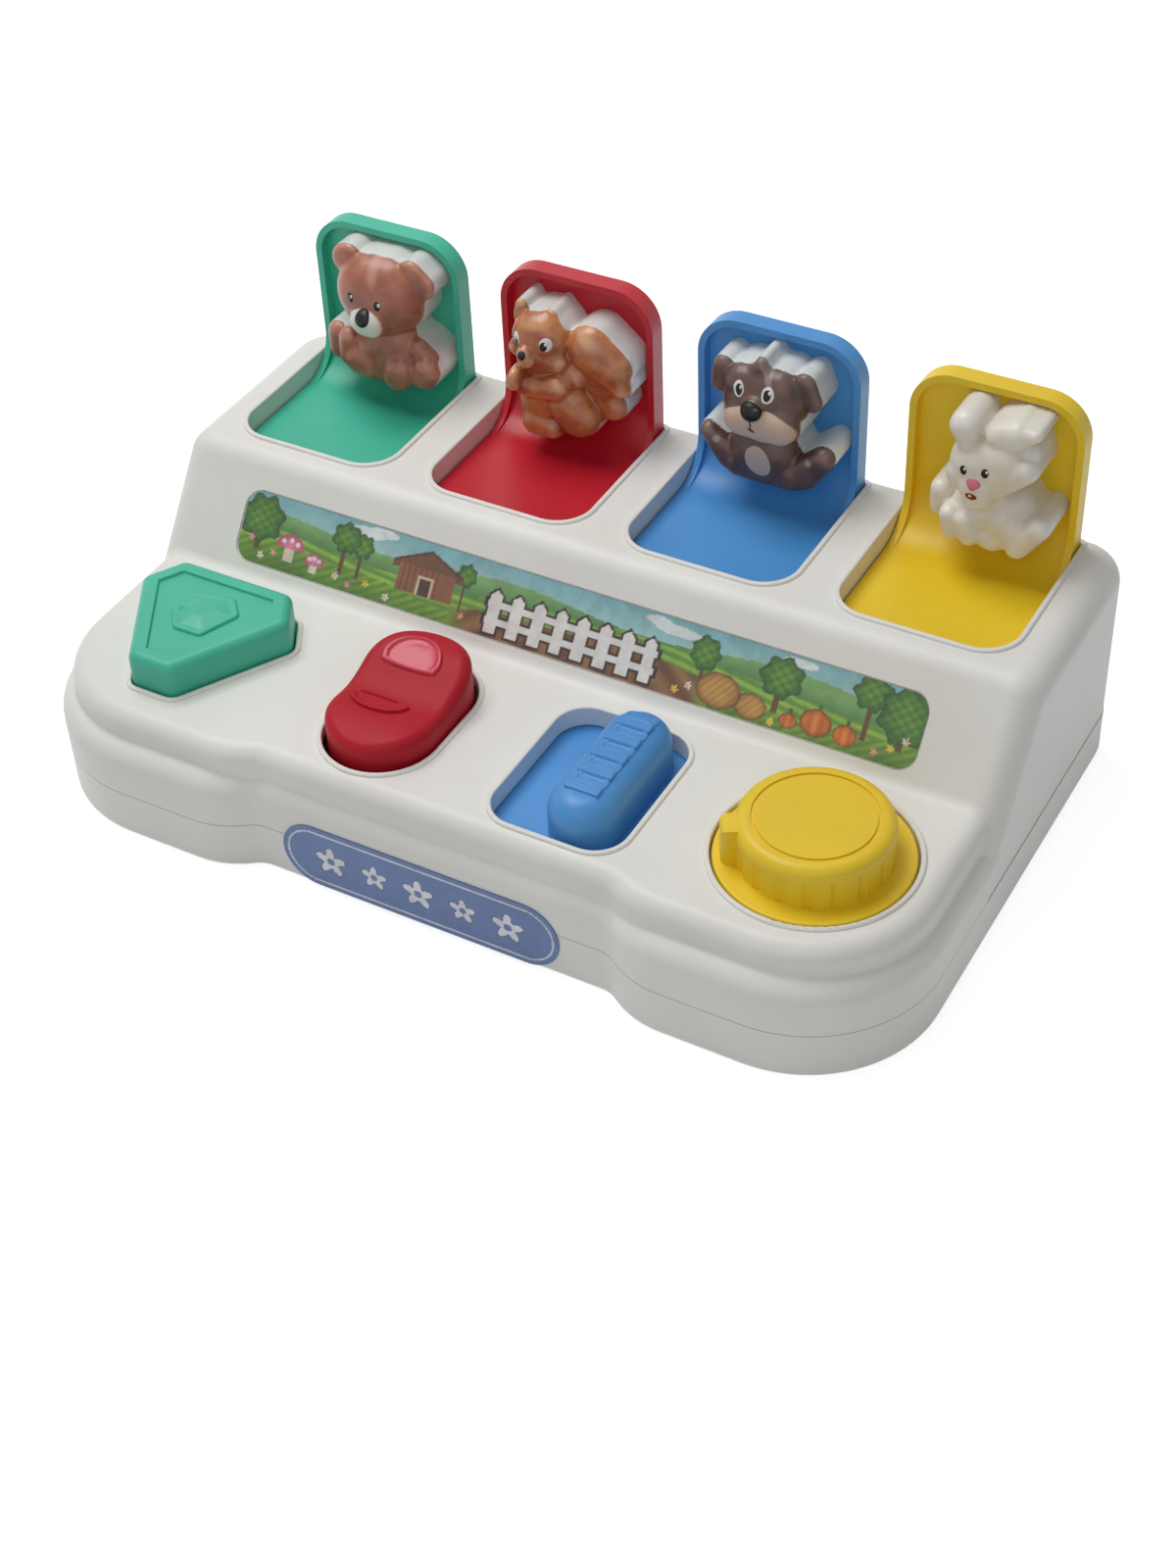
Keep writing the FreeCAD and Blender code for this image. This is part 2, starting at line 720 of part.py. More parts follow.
# ---------------------------------------------------------------- base plate
def base_tray():
    """Shallow tray with a lip that stands inside the upper shell."""
    solid = prism(body_outline(0), 0, parting_z)
    solid = solid.makeFillet(foot_radius, edges_at(solid, 0))
    solid = solid.cut(prism(body_outline(wall), wall, parting_z + 1))
    lip_skin = wall + lip_clearance
    lip_in = prism(body_outline(lip_skin + lip_thickness), wall - 1, parting_z + lip_height + 1)
    lip = prism(body_outline(lip_skin), wall - sink, parting_z + lip_height).cut(lip_in)
    root = prism(body_outline(wall - sink), wall - sink, parting_z - lip_root_drop).cut(lip_in)
    return [solid, lip, root]


def lever_ears(x):
    """Two ears that hold a latch lever's pin."""
    top = lever_pivot_z + ear_height
    y0, y1 = lever_pivot_y - ear_half_depth, lever_pivot_y + ear_half_depth
    inner = lever_width / 2 + ear_gap
    ears = []
    for side in (-1, 1):
        x0, x1 = sorted((x + side * inner, x + side * (inner + ear_thickness)))
        ears.append(block(x0, x1, y0, y1, wall - sink, top))
    return ears


def base_plate():
    add = base_tray()
    remove = []
    for x, y in screw_places:
        add.append(rod_z(boss_radius, x, y, wall - sink, boss_low_z))
        remove.append(rod_z(screw_radius + screw_hole_room, x, y, -1, boss_low_z + 1))
        remove.append(rod_z(screw_head_radius + screw_head_room, x, y, -1, screw_recess))
    for x in lid_centres:
        add += lever_ears(x)
        remove.append(lever_pin_hole(x, rod_seat))
    post_top = button_guide_low + button_post_reach
    add.append(rod_z(button_post_radius, button_x, button_y, wall - sink, post_top))
    add.append(rod_z(knob_post_radius, knob_x, knob_y, wall - sink, knob_screw_z - knob_post_gap))
    add += [rod_z(guide_post_radius, x, y, wall - sink, guide_low_z) for x in guide_post_x for y in guide_y]
    solid = fused(add)
    for cutter in remove:
        solid = solid.cut(cutter)
    return solid


def lever_pin_hole(x, room):
    half = lever_width / 2 + ear_gap + ear_thickness + 1
    return rod_x(lever_pin_radius + room, x - half, x + half, lever_pivot_y, lever_pivot_z)


# ---------------------------------------------------------------- lids
def lid_profile(bend, inner_y, reach):
    """Side view of the bent lid between its outer faces and a hollow bend."""
    h = hinge_drop
    top = lid_reach
    low = -h + lid_thickness
    c = inner_y - bend
    a = math.sqrt(0.5)
    edges = [
        line((0, -reach, -h), (0, 0, -h)),
        Part.Arc(Vector(0, 0, -h), Vector(0, h * a, -h * a), Vector(0, h, 0)).toShape(),
        line((0, h, 0), (0, h, top)),
        line((0, h, top), (0, inner_y, top)),
        line((0, inner_y, top), (0, inner_y, low + bend)),
        Part.Arc(
            Vector(0, inner_y, low + bend),
            Vector(0, c + bend * a, low + bend - bend * a),
            Vector(0, c, low),
        ).toShape(),
        line((0, c, low), (0, -reach, low)),
        line((0, -reach, low), (0, -reach, -h)),
    ]
    return Part.Face(Part.Wire(edges))


def lid(x):
    """Wall with a rim, a floor plate with a tongue, and a bore for the hinge rod, drawn about the hinge."""
    across = Vector(lid_width, 0, 0)
    sheet = lid_profile(lid_bend_radius, hinge_drop - lid_thickness, plate_front).extrude(across)
    rim = lid_profile(lid_rim_bend, hinge_drop - lid_rim_depth, plate_front).extrude(across)
    t = lid_rim_thickness
    hollow = arch_slab(t, lid_width - t, lid_reach - t, lid_corner_radius - t)
    keep = arch_slab(0, lid_width, lid_reach, lid_corner_radius).common(lid_plan())
    solid = fused([sheet, rim.cut(hollow)]).common(keep)
    middle = lid_width / 2
    floor_z = -hinge_drop
    x0, x1 = middle - tongue_width / 2, middle + tongue_width / 2
    y0, y1 = -plate_front - tongue_reach, -plate_front + tongue_root
    solid = fused([solid, block(x0, x1, y0, y1, floor_z, floor_z + lid_thickness)])
    for left in (x0 - notch_width, x1):
        notch_y = -plate_front + notch_cut
        solid = solid.cut(block(left, left + notch_width, y0, notch_y, 2 * floor_z, 0))
    solid = solid.cut(rod_x(rod_radius + rod_running, -1, lid_width + 1, 0, 0))
    r = spring_pocket_radius
    x0, x1 = middle - spring_pocket_half, middle + spring_pocket_half
    solid = solid.cut(rod_x(r, x0, x1, 0, 0).fuse(block(x0, x1, -r, r, 2 * floor_z, 0)))
    solid.translate(Vector(x - middle, hinge_y, hinge_z))
    return solid


def arch_slab(x0, x1, top, r):
    """Thick slab across Y whose two upper corners are round; it starts well below the hinge."""
    low = -lid_reach
    wire = Part.Wire(Part.__sortEdges__([
        line((x0, low, 0), (x1, low, 0)),
        line((x1, low, 0), (x1, top - r, 0)),
        arc(x1 - r, top - r, r, 0, 90),
        line((x1 - r, top, 0), (x0 + r, top, 0)),
        arc(x0 + r, top - r, r, 90, 180),
        line((x0, top - r, 0), (x0, low, 0)),
    ]))
    solid = Part.Face(wire).extrude(Vector(0, 0, 2 * depth))
    solid.rotate(Vector(0, 0, 0), Vector(1, 0, 0), 90)
    solid.translate(Vector(0, depth, 0))
    return solid


def lid_plan():
    """Plan of the lid, with two round front corners, as a block far taller than the lid."""
    r = opening_front_radius - lid_clearance
    w = lid_width
    rear = 2 * hinge_drop
    wire = Part.Wire(Part.__sortEdges__([
        arc(r, -plate_front + r, r, 180, 270),
        line((r, -plate_front, 0), (w - r, -plate_front, 0)),
        arc(w - r, -plate_front + r, r, 270, 360),
        line((w, -plate_front + r, 0), (w, rear, 0)),
        line((w, rear, 0), (0, rear, 0)),
        line((0, rear, 0), (0, -plate_front + r, 0)),
    ]))
    return prism(wire, -lid_reach, 2 * lid_reach)


def hinge_rod(x):
    half = opening_half + rod_overhang - rod_end_gap
    return rod_x(rod_radius, x - half, x + half, hinge_y, hinge_z)


def coil(radius, wire_radius, turns, length, legs=(0, 0)):
    """A coil spring along Z from the origin.  Its wire may run on straight at either end."""
    helix = Part.makeHelix(length / turns, length, radius)
    rise = Vector(0, 2 * math.pi * radius, length / turns).normalize()
    start = Vector(radius, 0, 0)
    end = Vector(radius * math.cos(2 * math.pi * turns), radius * math.sin(2 * math.pi * turns), length)
    edges = list(helix.Edges)
    if legs[0]:
        start = start - rise * legs[0]
        edges.insert(0, Part.makeLine(start, Vector(radius, 0, 0)))
    if legs[1]:
        edges.append(Part.makeLine(end, end + rise * legs[1]))
    profile = Part.Wire(Part.makeCircle(wire_radius, start, rise))
    return Part.Wire(edges).makePipeShell([profile], True, True)


def lid_spring(x):
    """Torsion spring round the hinge rod: a short leg in the lid's pocket and a longer one that hangs."""
    length = 2 * (spring_pocket_half - spring_end_gap)
    solid = coil(spring_coil_radius, spring_wire / 2, spring_turns, length, (spring_inner_leg, spring_leg))
    solid.rotate(Vector(0, 0, 0), Vector(0, 1, 0), 90)
    solid.rotate(Vector(0, 0, 0), Vector(1, 0, 0), -90)
    solid.translate(Vector(x - length / 2, hinge_y, hinge_z))
    return solid


# ---------------------------------------------------------------- latches
def latch_lever(x):
    """Lever with a nose that catches the lid's tongue, and an upright that a control pushes to the rear."""
    x0, x1 = x - lever_width / 2, x + lever_width / 2
    nose_y1 = lid_wall_y - nose_gap
    nose_y0 = nose_y1 - nose_thickness
    hub = rod_x(lever_hub_radius, x0, x1, lever_pivot_y, lever_pivot_z)
    arm = block(x0, x1, lever_pivot_y, nose_y1, lever_arm_low, lever_arm_high)
    nose_top = tongue_tip_z + nose_overlap
    nose = block(x0, x1, nose_y0, nose_y1, lever_arm_low, nose_top)
    front_edge = [e for e in edges_at(nose, nose_top) if all(v.Y < nose_y0 + 0.01 for v in e.Vertexes)]
    nose = nose.makeFillet(lever_edge, front_edge)
    t = lever_upright_thickness / 2
    upright = block(x0, x1, lever_pivot_y - t, lever_pivot_y + t, lever_pivot_z, lever_upright_top)
    along = [e for e in edges_at(upright, lever_upright_top) if e.Length > lever_width - 0.01]
    upright = upright.makeFillet(lever_edge, along)
    web_low = lever_arm_high - sink
    corners = [
        (lever_pivot_y, web_low),
        (lever_pivot_y + lever_web_reach, web_low),
        (lever_pivot_y, web_low + lever_web_reach),
    ]
    web = slab_x(corners, x - lever_web / 2, x + lever_web / 2)
    return fused([hub, arm, nose, upright, web]).cut(lever_pin_hole(x, rod_running))


def latch_pin(x):
    half = lever_width / 2 + ear_gap + ear_thickness
    return rod_x(lever_pin_radius, x - half, x + half, lever_pivot_y, lever_pivot_z)


def latch_spring(x):
    low = wall + latch_spring_wire / 2 + spring_gap
    high = lever_arm_low - latch_spring_wire / 2 - latch_spring_gap
    solid = coil(latch_spring_radius, latch_spring_wire / 2, latch_spring_turns, high - low)
    solid.translate(Vector(x, latch_spring_y, low))
    return solid


# ---------------------------------------------------------------- push button
def push_button():
    flange_high = front_deck_z - wall - flange_gap
    flange_low = flange_high - button_flange_thickness
    body = prism(button_wire(-play), flange_low, button_top_z)
    body = body.makeFillet(button_edge, edges_at(body, button_top_z))
    flange = prism(button_wire(button_flange), flange_low, flange_high)
    solid = fused([body, flange])
    solid = solid.cut(prism(button_wire(-play - button_wall), flange_low - 1, button_roof_z))
    recess = button_top_z - button_panel_depth
    panel = prism(button_wire(-play - button_panel_inset), recess, button_top_z + 1)
    solid = solid.cut(panel.cut(button_hexagon()))
    guide_high = button_top_z - button_wall
    bore_high = button_guide_low + button_bore_depth
    solid = fused([solid, rod_z(button_guide_radius, button_x, button_y, button_guide_low, guide_high)])
    bore = rod_z(button_post_radius + button_post_room, button_x, button_y, button_guide_low - 1, bore_high)
    return fused([solid.cut(bore), button_wedge(flange_high)])


def button_hexagon():
    """Raised six-sided boss in the middle of the button's panel."""
    corners = []
    for k in range(7):
        a = math.radians(60 * k)
        reach = Vector(math.cos(a), math.sin(a), 0) * button_boss_radius
        corners.append(Vector(button_x, button_y, 0) + reach)
    return prism(Part.makePolygon(corners), button_top_z - button_boss_depth, button_top_z)


def button_wedge(top):
    """Fin under the rear of the button whose sloping face pushes its lever back as it goes down."""
    x = lid_centres[0]
    low = lever_upright_top - cam_drop
    root_y = button_y + button_long - button_fin_root
    rear_low = cam_face_y + (low - lever_upright_top) * button_slot
    rear_high = cam_face_y + (top - lever_upright_top) * button_slot
    corners = [(root_y, low), (rear_low, low), (rear_high, top), (root_y, top)]
    return slab_x(corners, x - fin_thickness / 2, x + fin_thickness / 2)


def button_spring():
    low = wall + button_spring_wire / 2 + spring_gap
    high = button_roof_z - button_spring_wire / 2 - spring_gap
    solid = coil(button_spring_radius, button_spring_wire / 2, button_spring_turns, high - low)
    solid.translate(Vector(button_x, button_y, low))
    return solid


# ---------------------------------------------------------------- rocker
def rocker_saddle():
    """Everything under the saddle's curved top, much wider than the rocker."""
    half = rocker_length / 2 - rocker_end_gap + 1
    points = [Vector(0, control_y + share * half, front_deck_z + rise) for share, rise in rocker_profile]
    crest = Part.BSplineCurve()
    crest.interpolate(points)
    rear_low = Vector(0, points[-1].y, rocker_bottom_z)
    front_low = Vector(0, points[0].y, rocker_bottom_z)
    edges = [
        crest.toShape(),
        line(points[-1], rear_low),
        line(rear_low, front_low),
        line(front_low, points[0]),
    ]
    solid = Part.Face(Part.Wire(edges)).extrude(Vector(2 * rocker_width, 0, 0))
    solid.translate(Vector(rocker_x - rocker_width, 0, 0))
    return solid


def rocker_switch():
    body = prism(pill_wire(-play, rocker_end_gap - play), rocker_bottom_z, rear_deck_z)
    body = body.common(rocker_saddle())
    upper = [e for e in body.Edges if min(v.Z for v in e.Vertexes) > front_deck_z]
    body = body.makeFillet(rocker_edge, upper)
    roof_z = front_deck_z + rocker_roof
    hollow = prism(pill_wire(-play - rocker_wall, rocker_end_gap - play), rocker_bottom_z - 1, roof_z)
    x0 = rocker_x - rocker_width / 2 + rocker_spine_end
    x1 = rocker_x + rocker_width / 2 - rocker_spine_end
    y0, y1 = control_y - rocker_spine_half, control_y + rocker_spine_half
    spine = block(x0, x1, y0, y1, rocker_bottom_z, roof_z + sink)
    body = fused([body.cut(hollow), spine, rocker_wedge()])
    x0, x1 = rocker_x - rocker_width, rocker_x + rocker_width
    return body.cut(rod_x(rocker_pin_radius + rod_running, x0, x1, control_y, rocker_pivot_z))


def rocker_wedge():
    """Fin behind the rocker's rear lobe, with a sloping face for its lever."""
    x = lid_centres[1]
    root_y = control_y + rocker_length / 2 - rocker_wedge_root
    root_z = rocker_bottom_z + rocker_wedge_drop
    low = lever_upright_top - rocker_wedge_drop
    face_y = cam_face_y - rocker_wedge_gap
    corners = [
        (root_y, low),
        (face_y - rocker_wedge_drop * rocker_wedge_slope, low),
        (face_y, lever_upright_top),
        (face_y, lever_upright_top + rocker_wedge_flat),
        (root_y, root_z),
    ]
    return slab_x(corners, x - fin_thickness / 2, x + fin_thickness / 2)


def rocker_pin():
    half = rocker_width / 2 + rocker_pin_overhang
    return rod_x(rocker_pin_radius, rocker_x - half, rocker_x + half, control_y, rocker_pivot_z)


# ---------------------------------------------------------------- slide
def slide_handle():
    """Domed capsule with a row of ribs across its top."""
    top = slide_top_z + handle_rise
    wire = pill(handle_x, handle_y, (handle_length - handle_width) / 2, handle_width / 2)
    handle = prism(wire, slide_top_z - sink, top)
    shapes = [handle.makeFillet(handle_dome, edges_at(handle, top))]
    x0, x1 = handle_x - rib_length / 2, handle_x + rib_length / 2
    for k in range(rib_count):
        y = handle_y + (k - (rib_count - 1) / 2) * rib_pitch
        rib = block(x0, x1, y - rib_width / 2, y + rib_width / 2, top - rib_root, top + rib_height)
        shapes.append(rib.makeFillet(rib_edge, edges_at(rib, top + rib_height)))
    return shapes


def slide_cam():
    """Stem under the plate and the plate cam at its foot, whose rear edge leads the lever back."""
    low = lever_upright_top - cam_drop
    high = lever_upright_top + cam_climb
    x0 = lid_centres[2] - slide_cam_end
    x1 = lid_centres[2] + slide_travel
    x2 = x1 + slide_cam_end
    front = cam_face_y - slide_cam_depth
    far = cam_face_y + slide_cam_slope * slide_travel
    middle = lid_centres[2]
    corners = [(x0, front), (x0, cam_face_y), (middle, cam_face_y), (x1, far), (x2, far), (x2, front)]
    points = [Vector(x, y, 0) for x, y in corners]
    stem = block(x0, x2, front, front + slide_stem_depth, low, slide_low_z + sink)
    return [prism(Part.makePolygon(points + points[:1]), low, high), stem]


def slide_switch():
    plate = block(plate_x0, plate_x1, plate_y0, plate_y1, slide_low_z, slide_top_z)
    return fused([plate] + slide_handle() + slide_cam())


def slide_rails():
    """Two rails that carry the slide plate, on four posts."""
    half = (guide_rail + guide_rail_reach) / 2
    x0 = plate_x0 - slide_travel
    rails = [block(x0, plate_x1, y - half, y + half, guide_low_z, guide_high_z) for y in guide_y]
    return Part.makeCompound(rails)


# ---------------------------------------------------------------- knob
def knob_pointer(low, top):
    """Narrow beak at the knob's left that shows how far it is turned."""
    x0 = knob_x - knob_flange_radius + pointer_inset
    beak = block(x0, knob_x, knob_y - pointer_half, knob_y + pointer_half, low, top - pointer_drop)
    outer = []
    for e in beak.Edges:
        far_out = all(v.X < knob_x - 1 for v in e.Vertexes)
        if far_out and max(v.Z for v in e.Vertexes) > low + 1:
            outer.append(e)
    beak = beak.makeFillet(pointer_edge, outer)
    beak.rotate(Vector(knob_x, knob_y, 0), Vector(0, 0, 1), pointer_turn)
    return beak


def turn_knob():
    low = front_deck_z - knob_flange_drop
    flange_high = low + knob_flange_thickness
    top = flange_high + knob_rise
    flange = rod_z(knob_flange_radius, knob_x, knob_y, low, flange_high)
    flange = flange.makeFillet(knob_flange_edge, edges_at(flange, flange_high))
    body = rod_z(knob_radius, knob_x, knob_y, low, top)
    body = body.makeFillet(knob_edge, edges_at(body, top))
    reach = knob_radius + knob_scallop_radius - knob_scallop_depth
    for k in range(knob_scallops):
        a = 2 * math.pi * (k + 0.5) / knob_scallops
        x, y = knob_x + reach * math.cos(a), knob_y + reach * math.sin(a)
        body = body.cut(rod_z(knob_scallop_radius, x, y, flange_high, top - knob_edge - 1))
    solid = fused([flange, body, knob_pointer(low, top)])
    floor = top - knob_disc_depth
    ring = rod_z(knob_disc_radius, knob_x, knob_y, floor, top + 1)
    solid = solid.cut(ring.cut(rod_z(knob_disc_radius - knob_disc_groove, knob_x, knob_y, low, top)))
    solid = solid.cut(rod_z(knob_radius - knob_wall, knob_x, knob_y, low - 1, top - knob_roof))
    hub_low = cam_low_z + knob_hub_low
    solid = fused([solid, rod_z(knob_hub_radius, knob_x, knob_y, hub_low, top - knob_roof + sink)])
    pilot = rod_z(screw_radius + screw_seat, knob_x, knob_y, cam_low_z, cam_low_z + knob_screw_bore)
    return solid.cut(pilot)


def knob_sector():
    """Ring sector whose outer edge rises as the knob turns and leads the lever back."""
    outer_radius = cam_face_y - knob_y
    inner = outer_radius - cam_ring
    begin = 90 - cam_overrun
    end = 90 + knob_turn + cam_overrun
    steps = 12
    outer = []
    for k in range(steps + 1):
        a = begin + (end - begin) * k / steps
        share = max(0.0, min(1.0, (a - 90) / knob_turn))
        outer.append(knob_polar(outer_radius + cam_rise * share, a))
    curve = Part.BSplineCurve()
    curve.interpolate(outer)
    wire = Part.Wire(Part.__sortEdges__([
        curve.toShape(),
        line(outer[-1], knob_polar(inner, end)),
        arc(knob_x, knob_y, inner, end, begin),
        line(knob_polar(inner, begin), outer[0]),
    ]))
    spoke = block(0, inner + 1, -spoke_half, spoke_half, cam_low_z, cam_low_z + spoke_height)
    spoke.rotate(Vector(0, 0, 0), Vector(0, 0, 1), (begin + end) / 2)
    spoke.translate(Vector(knob_x, knob_y, 0))
    return [prism(wire, cam_low_z, cam_high_z), spoke]


def knob_polar(radius, degrees):
    a = math.radians(degrees)
    return Vector(knob_x + radius * math.cos(a), knob_y + radius * math.sin(a), 0)


def knob_collar():
    """Retaining disc under the deck with a hub and the sector cam that works the lever."""
    disc = rod_z(collar_radius, knob_x, knob_y, collar_high_z - collar_thickness, collar_high_z)
    hub = rod_z(collar_hub_radius, knob_x, knob_y, cam_low_z, collar_high_z)
    solid = fused([disc, hub] + knob_sector())
    seat_z = cam_low_z + knob_hub_low - hub_play
    solid = solid.cut(rod_z(knob_hub_radius + hub_play, knob_x, knob_y, seat_z, collar_high_z + 1))
    return solid.cut(rod_z(screw_radius + screw_hole_room, knob_x, knob_y, cam_low_z - 1, seat_z + 1))


# ---------------------------------------------------------------- screws
def screw(x, y, z):
    """Pan-head screw that points up from z, with a cross recess in its head."""
    shank_z = z + screw_head_height
    head = rod_z(screw_head_radius, x, y, z, shank_z)
    head = head.makeFillet(screw_head_edge, edges_at(head, z))
    shank = rod_z(screw_radius, x, y, shank_z - sink, shank_z + screw_length)
    shank = shank.makeChamfer(screw_tip_edge, edges_at(shank, shank_z + screw_length))
    solid = fused([head, shank])
    for w, d in ((screw_cross, screw_cross_width), (screw_cross_width, screw_cross)):
        x0, x1, y0, y1 = x - w / 2, x + w / 2, y - d / 2, y + d / 2
        solid = solid.cut(block(x0, x1, y0, y1, z - 1, z + screw_cross_depth))
    return solid


# ---------------------------------------------------------------- figures
def lobe(u0, w0, u1, w1, radius, front, dome):
    """Domed limb that stands out of the lid's wall: a disc, or a bar with round ends."""
    start = Vector(u0, 0, w0)
    along = Vector(u1 - u0, 0, w1 - w0)
    if along.Length == 0:
        solid = Part.makeCylinder(radius, front, start, Vector(0, -1, 0))
    else:
        solid = bar(radius, front, along.Length)
        solid.rotate(Vector(0, 0, 0), Vector(0, -1, 0), math.degrees(math.atan2(along.z, along.x)))
        solid.translate(start)
    rim = [e for e in solid.Edges if all(abs(v.Y + front) < 0.01 for v in e.Vertexes)]
    return solid.makeFillet(dome, rim)


def bar(radius, front, length):
    """Bar along X with round ends, between the planes y = 0 and y = -front."""
    solid = prism(pill(0, 0, length / 2, radius), 0, front)
    solid.rotate(Vector(0, 0, 0), Vector(0, 0, 1), -90)
    solid.translate(Vector(length / 2, 0, 0))
    solid.rotate(Vector(0, 0, 0), Vector(1, 0, 0), 90)
    return solid


def figure(x, name):
    """Moulded animal: limbs that share one back, which is bonded to the lid's wall above its bend."""
    limbs = []
    for row in figure_lobes[name]:
        limbs.append(lobe(*[size * figure_scale for size in row]))
    solid = fused(limbs)
    solid.translate(Vector(x, lid_wall_y, plate_top_z))
    x0, x1 = x - figure_half_width, x + figure_half_width
    face_y = lid_wall_y - figure_depth
    bend_y = lid_wall_y - lid_bend_radius
    bend_z = plate_top_z + lid_bend_radius
    in_bend = rod_x(lid_bend_radius - figure_gap, x0, x1, bend_y, bend_z)
    above = block(x0, x1, face_y, lid_wall_y - figure_gap, bend_z, figure_top_z)
    before = block(x0, x1, face_y, bend_y, plate_top_z + figure_gap, figure_top_z)
    return solid.common(fused([in_bend, above, before]))


# ---------------------------------------------------------------- labels
def banner_label():
    return banner_solid(0, -label_recess, -label_recess + label_thickness)


def front_badge():
    solid = prism(pill(0, 0, (badge_length - badge_height) / 2, badge_height / 2), 0, label_thickness)
    solid.rotate(Vector(0, 0, 0), Vector(0, 0, 1), 90)
    solid.rotate(Vector(0, 0, 0), Vector(1, 0, 0), 90)
    solid.translate(Vector(badge_x, front_y + notch_depth, badge_z))
    return solid


# ---------------------------------------------------------------- write every piece
def main():
    save("upper_housing", upper_housing())
    save("base_plate", base_plate())
    save("banner_label", banner_label())
    save("front_badge", front_badge())
    case_screw_z = screw_recess - screw_head_height
    save("case_screws", Part.makeCompound([screw(x, y, case_screw_z) for x, y in screw_places]))
    for x, colour, animal in zip(lid_centres, lid_names, figure_names):
        save("lid_" + colour, lid(x))
        save(animal + "_figure", figure(x, animal))
        save("hinge_rod_" + colour, hinge_rod(x))
        save("lid_spring_" + colour, lid_spring(x))
        save("latch_lever_" + colour, latch_lever(x))
        save("latch_pin_" + colour, latch_pin(x))
        save("latch_spring_" + colour, latch_spring(x))
    save("push_button", push_button())
    save("button_spring", button_spring())
    save("rocker_switch", rocker_switch())
    save("rocker_pin", rocker_pin())
    save("slide_switch", slide_switch())
    save("slide_rails", slide_rails())
    save("turn_knob", turn_knob())
    save("knob_collar", knob_collar())
    save("knob_screw", screw(knob_x, knob_y, knob_screw_z))


main()
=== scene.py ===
import json
import math

import bmesh
import bpy
from mathutils import Matrix, Vector
from mathutils.bvhtree import BVHTree


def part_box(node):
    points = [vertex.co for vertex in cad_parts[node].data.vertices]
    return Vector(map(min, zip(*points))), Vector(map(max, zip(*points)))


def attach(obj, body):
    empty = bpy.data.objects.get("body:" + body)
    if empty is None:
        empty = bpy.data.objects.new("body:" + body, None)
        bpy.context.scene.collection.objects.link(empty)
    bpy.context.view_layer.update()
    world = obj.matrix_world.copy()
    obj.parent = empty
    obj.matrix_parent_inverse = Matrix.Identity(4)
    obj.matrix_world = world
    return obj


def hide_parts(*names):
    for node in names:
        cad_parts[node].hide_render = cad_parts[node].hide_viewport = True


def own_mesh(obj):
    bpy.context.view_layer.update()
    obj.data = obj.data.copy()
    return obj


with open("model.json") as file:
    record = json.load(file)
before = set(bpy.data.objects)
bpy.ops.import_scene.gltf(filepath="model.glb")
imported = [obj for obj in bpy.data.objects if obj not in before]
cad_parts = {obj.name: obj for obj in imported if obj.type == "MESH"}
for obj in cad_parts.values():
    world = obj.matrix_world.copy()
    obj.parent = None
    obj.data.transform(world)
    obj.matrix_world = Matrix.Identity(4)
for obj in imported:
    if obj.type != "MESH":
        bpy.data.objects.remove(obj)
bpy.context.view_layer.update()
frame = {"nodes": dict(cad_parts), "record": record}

MM = 0.001
bpy.context.scene.view_settings.view_transform = "Standard"


def mm(*values):
    return Vector([v * MM for v in values])


# ---------------------------------------------------------------- places read from the frame
COLOURS = ["green", "red", "blue", "yellow"]
ANIMALS = ["bear", "squirrel", "puppy", "rabbit"]
PLATE_TOP_Z = 60.9
LID_WALL_Y = 70.1
lid_boxes = {colour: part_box("lid_" + colour) for colour in COLOURS}
slot_of = {row["node"]: row["material_slot"] for row in frame["record"]["subparts"]}
body_of = {}
for body_name, members in frame["record"]["behaviour"]["bodies"].items():
    for member in members:
        body_of[member] = body_name


def middle_x(box):
    """The middle of a box across the toy, in millimetres."""
    return (box[0][0] + box[1][0]) / 2 / MM


# ---------------------------------------------------------------- camera, light and floor
CAMERA_PLACE = (274.6, -451.9, 461.0)
CAMERA_YAW, CAMERA_HEIGHT_ANGLE, CAMERA_ROLL = 30.74, 41.55, -2.66
SENSOR_WIDTH = 36.0
FOCAL_SHARE = 2549.5 / 1600
LIGHT_TARGET = (0, 0, 0.03)
# place, side and power of each lamp
LAMPS = {"key_light": ((-0.35, 0.10, 0.95), 0.55, 5.7), "front_light": ((0.30, -0.95, 0.70), 0.9, 1.9)}
SKY_COLOUR, SKY_STRENGTH = (0.92, 0.95, 1.0, 1), 0.245
FLOOR_SIZE, FLOOR_DEPTH = 2.5, 0.0002
FLOOR_SHADE, FLOOR_LIFT = 0.80, 0.72


def camera():
    """The view of a hand-held camera above the right front corner of the toy."""
    yaw, height_angle, roll = (math.radians(a) for a in (CAMERA_YAW, CAMERA_HEIGHT_ANGLE, CAMERA_ROLL))
    back = Vector((math.sin(yaw) * math.cos(height_angle), -math.cos(yaw) * math.cos(height_angle),
                   math.sin(height_angle)))
    right = Vector((math.cos(yaw), math.sin(yaw), 0))
    up = back.cross(right)
    across = math.cos(roll) * right + math.sin(roll) * up
    upward = -math.sin(roll) * right + math.cos(roll) * up
    data = bpy.data.cameras.new("camera")
    data.sensor_width = SENSOR_WIDTH
    data.sensor_fit = "AUTO"
    data.lens = FOCAL_SHARE * SENSOR_WIDTH
    data.clip_start = 0.01
    obj = bpy.data.objects.new("camera", data)
    bpy.context.scene.collection.objects.link(obj)
    turn = Matrix((across, upward, back)).transposed()
    obj.matrix_world = Matrix.Translation(mm(*CAMERA_PLACE)) @ turn.to_4x4()
    bpy.context.scene.camera = obj


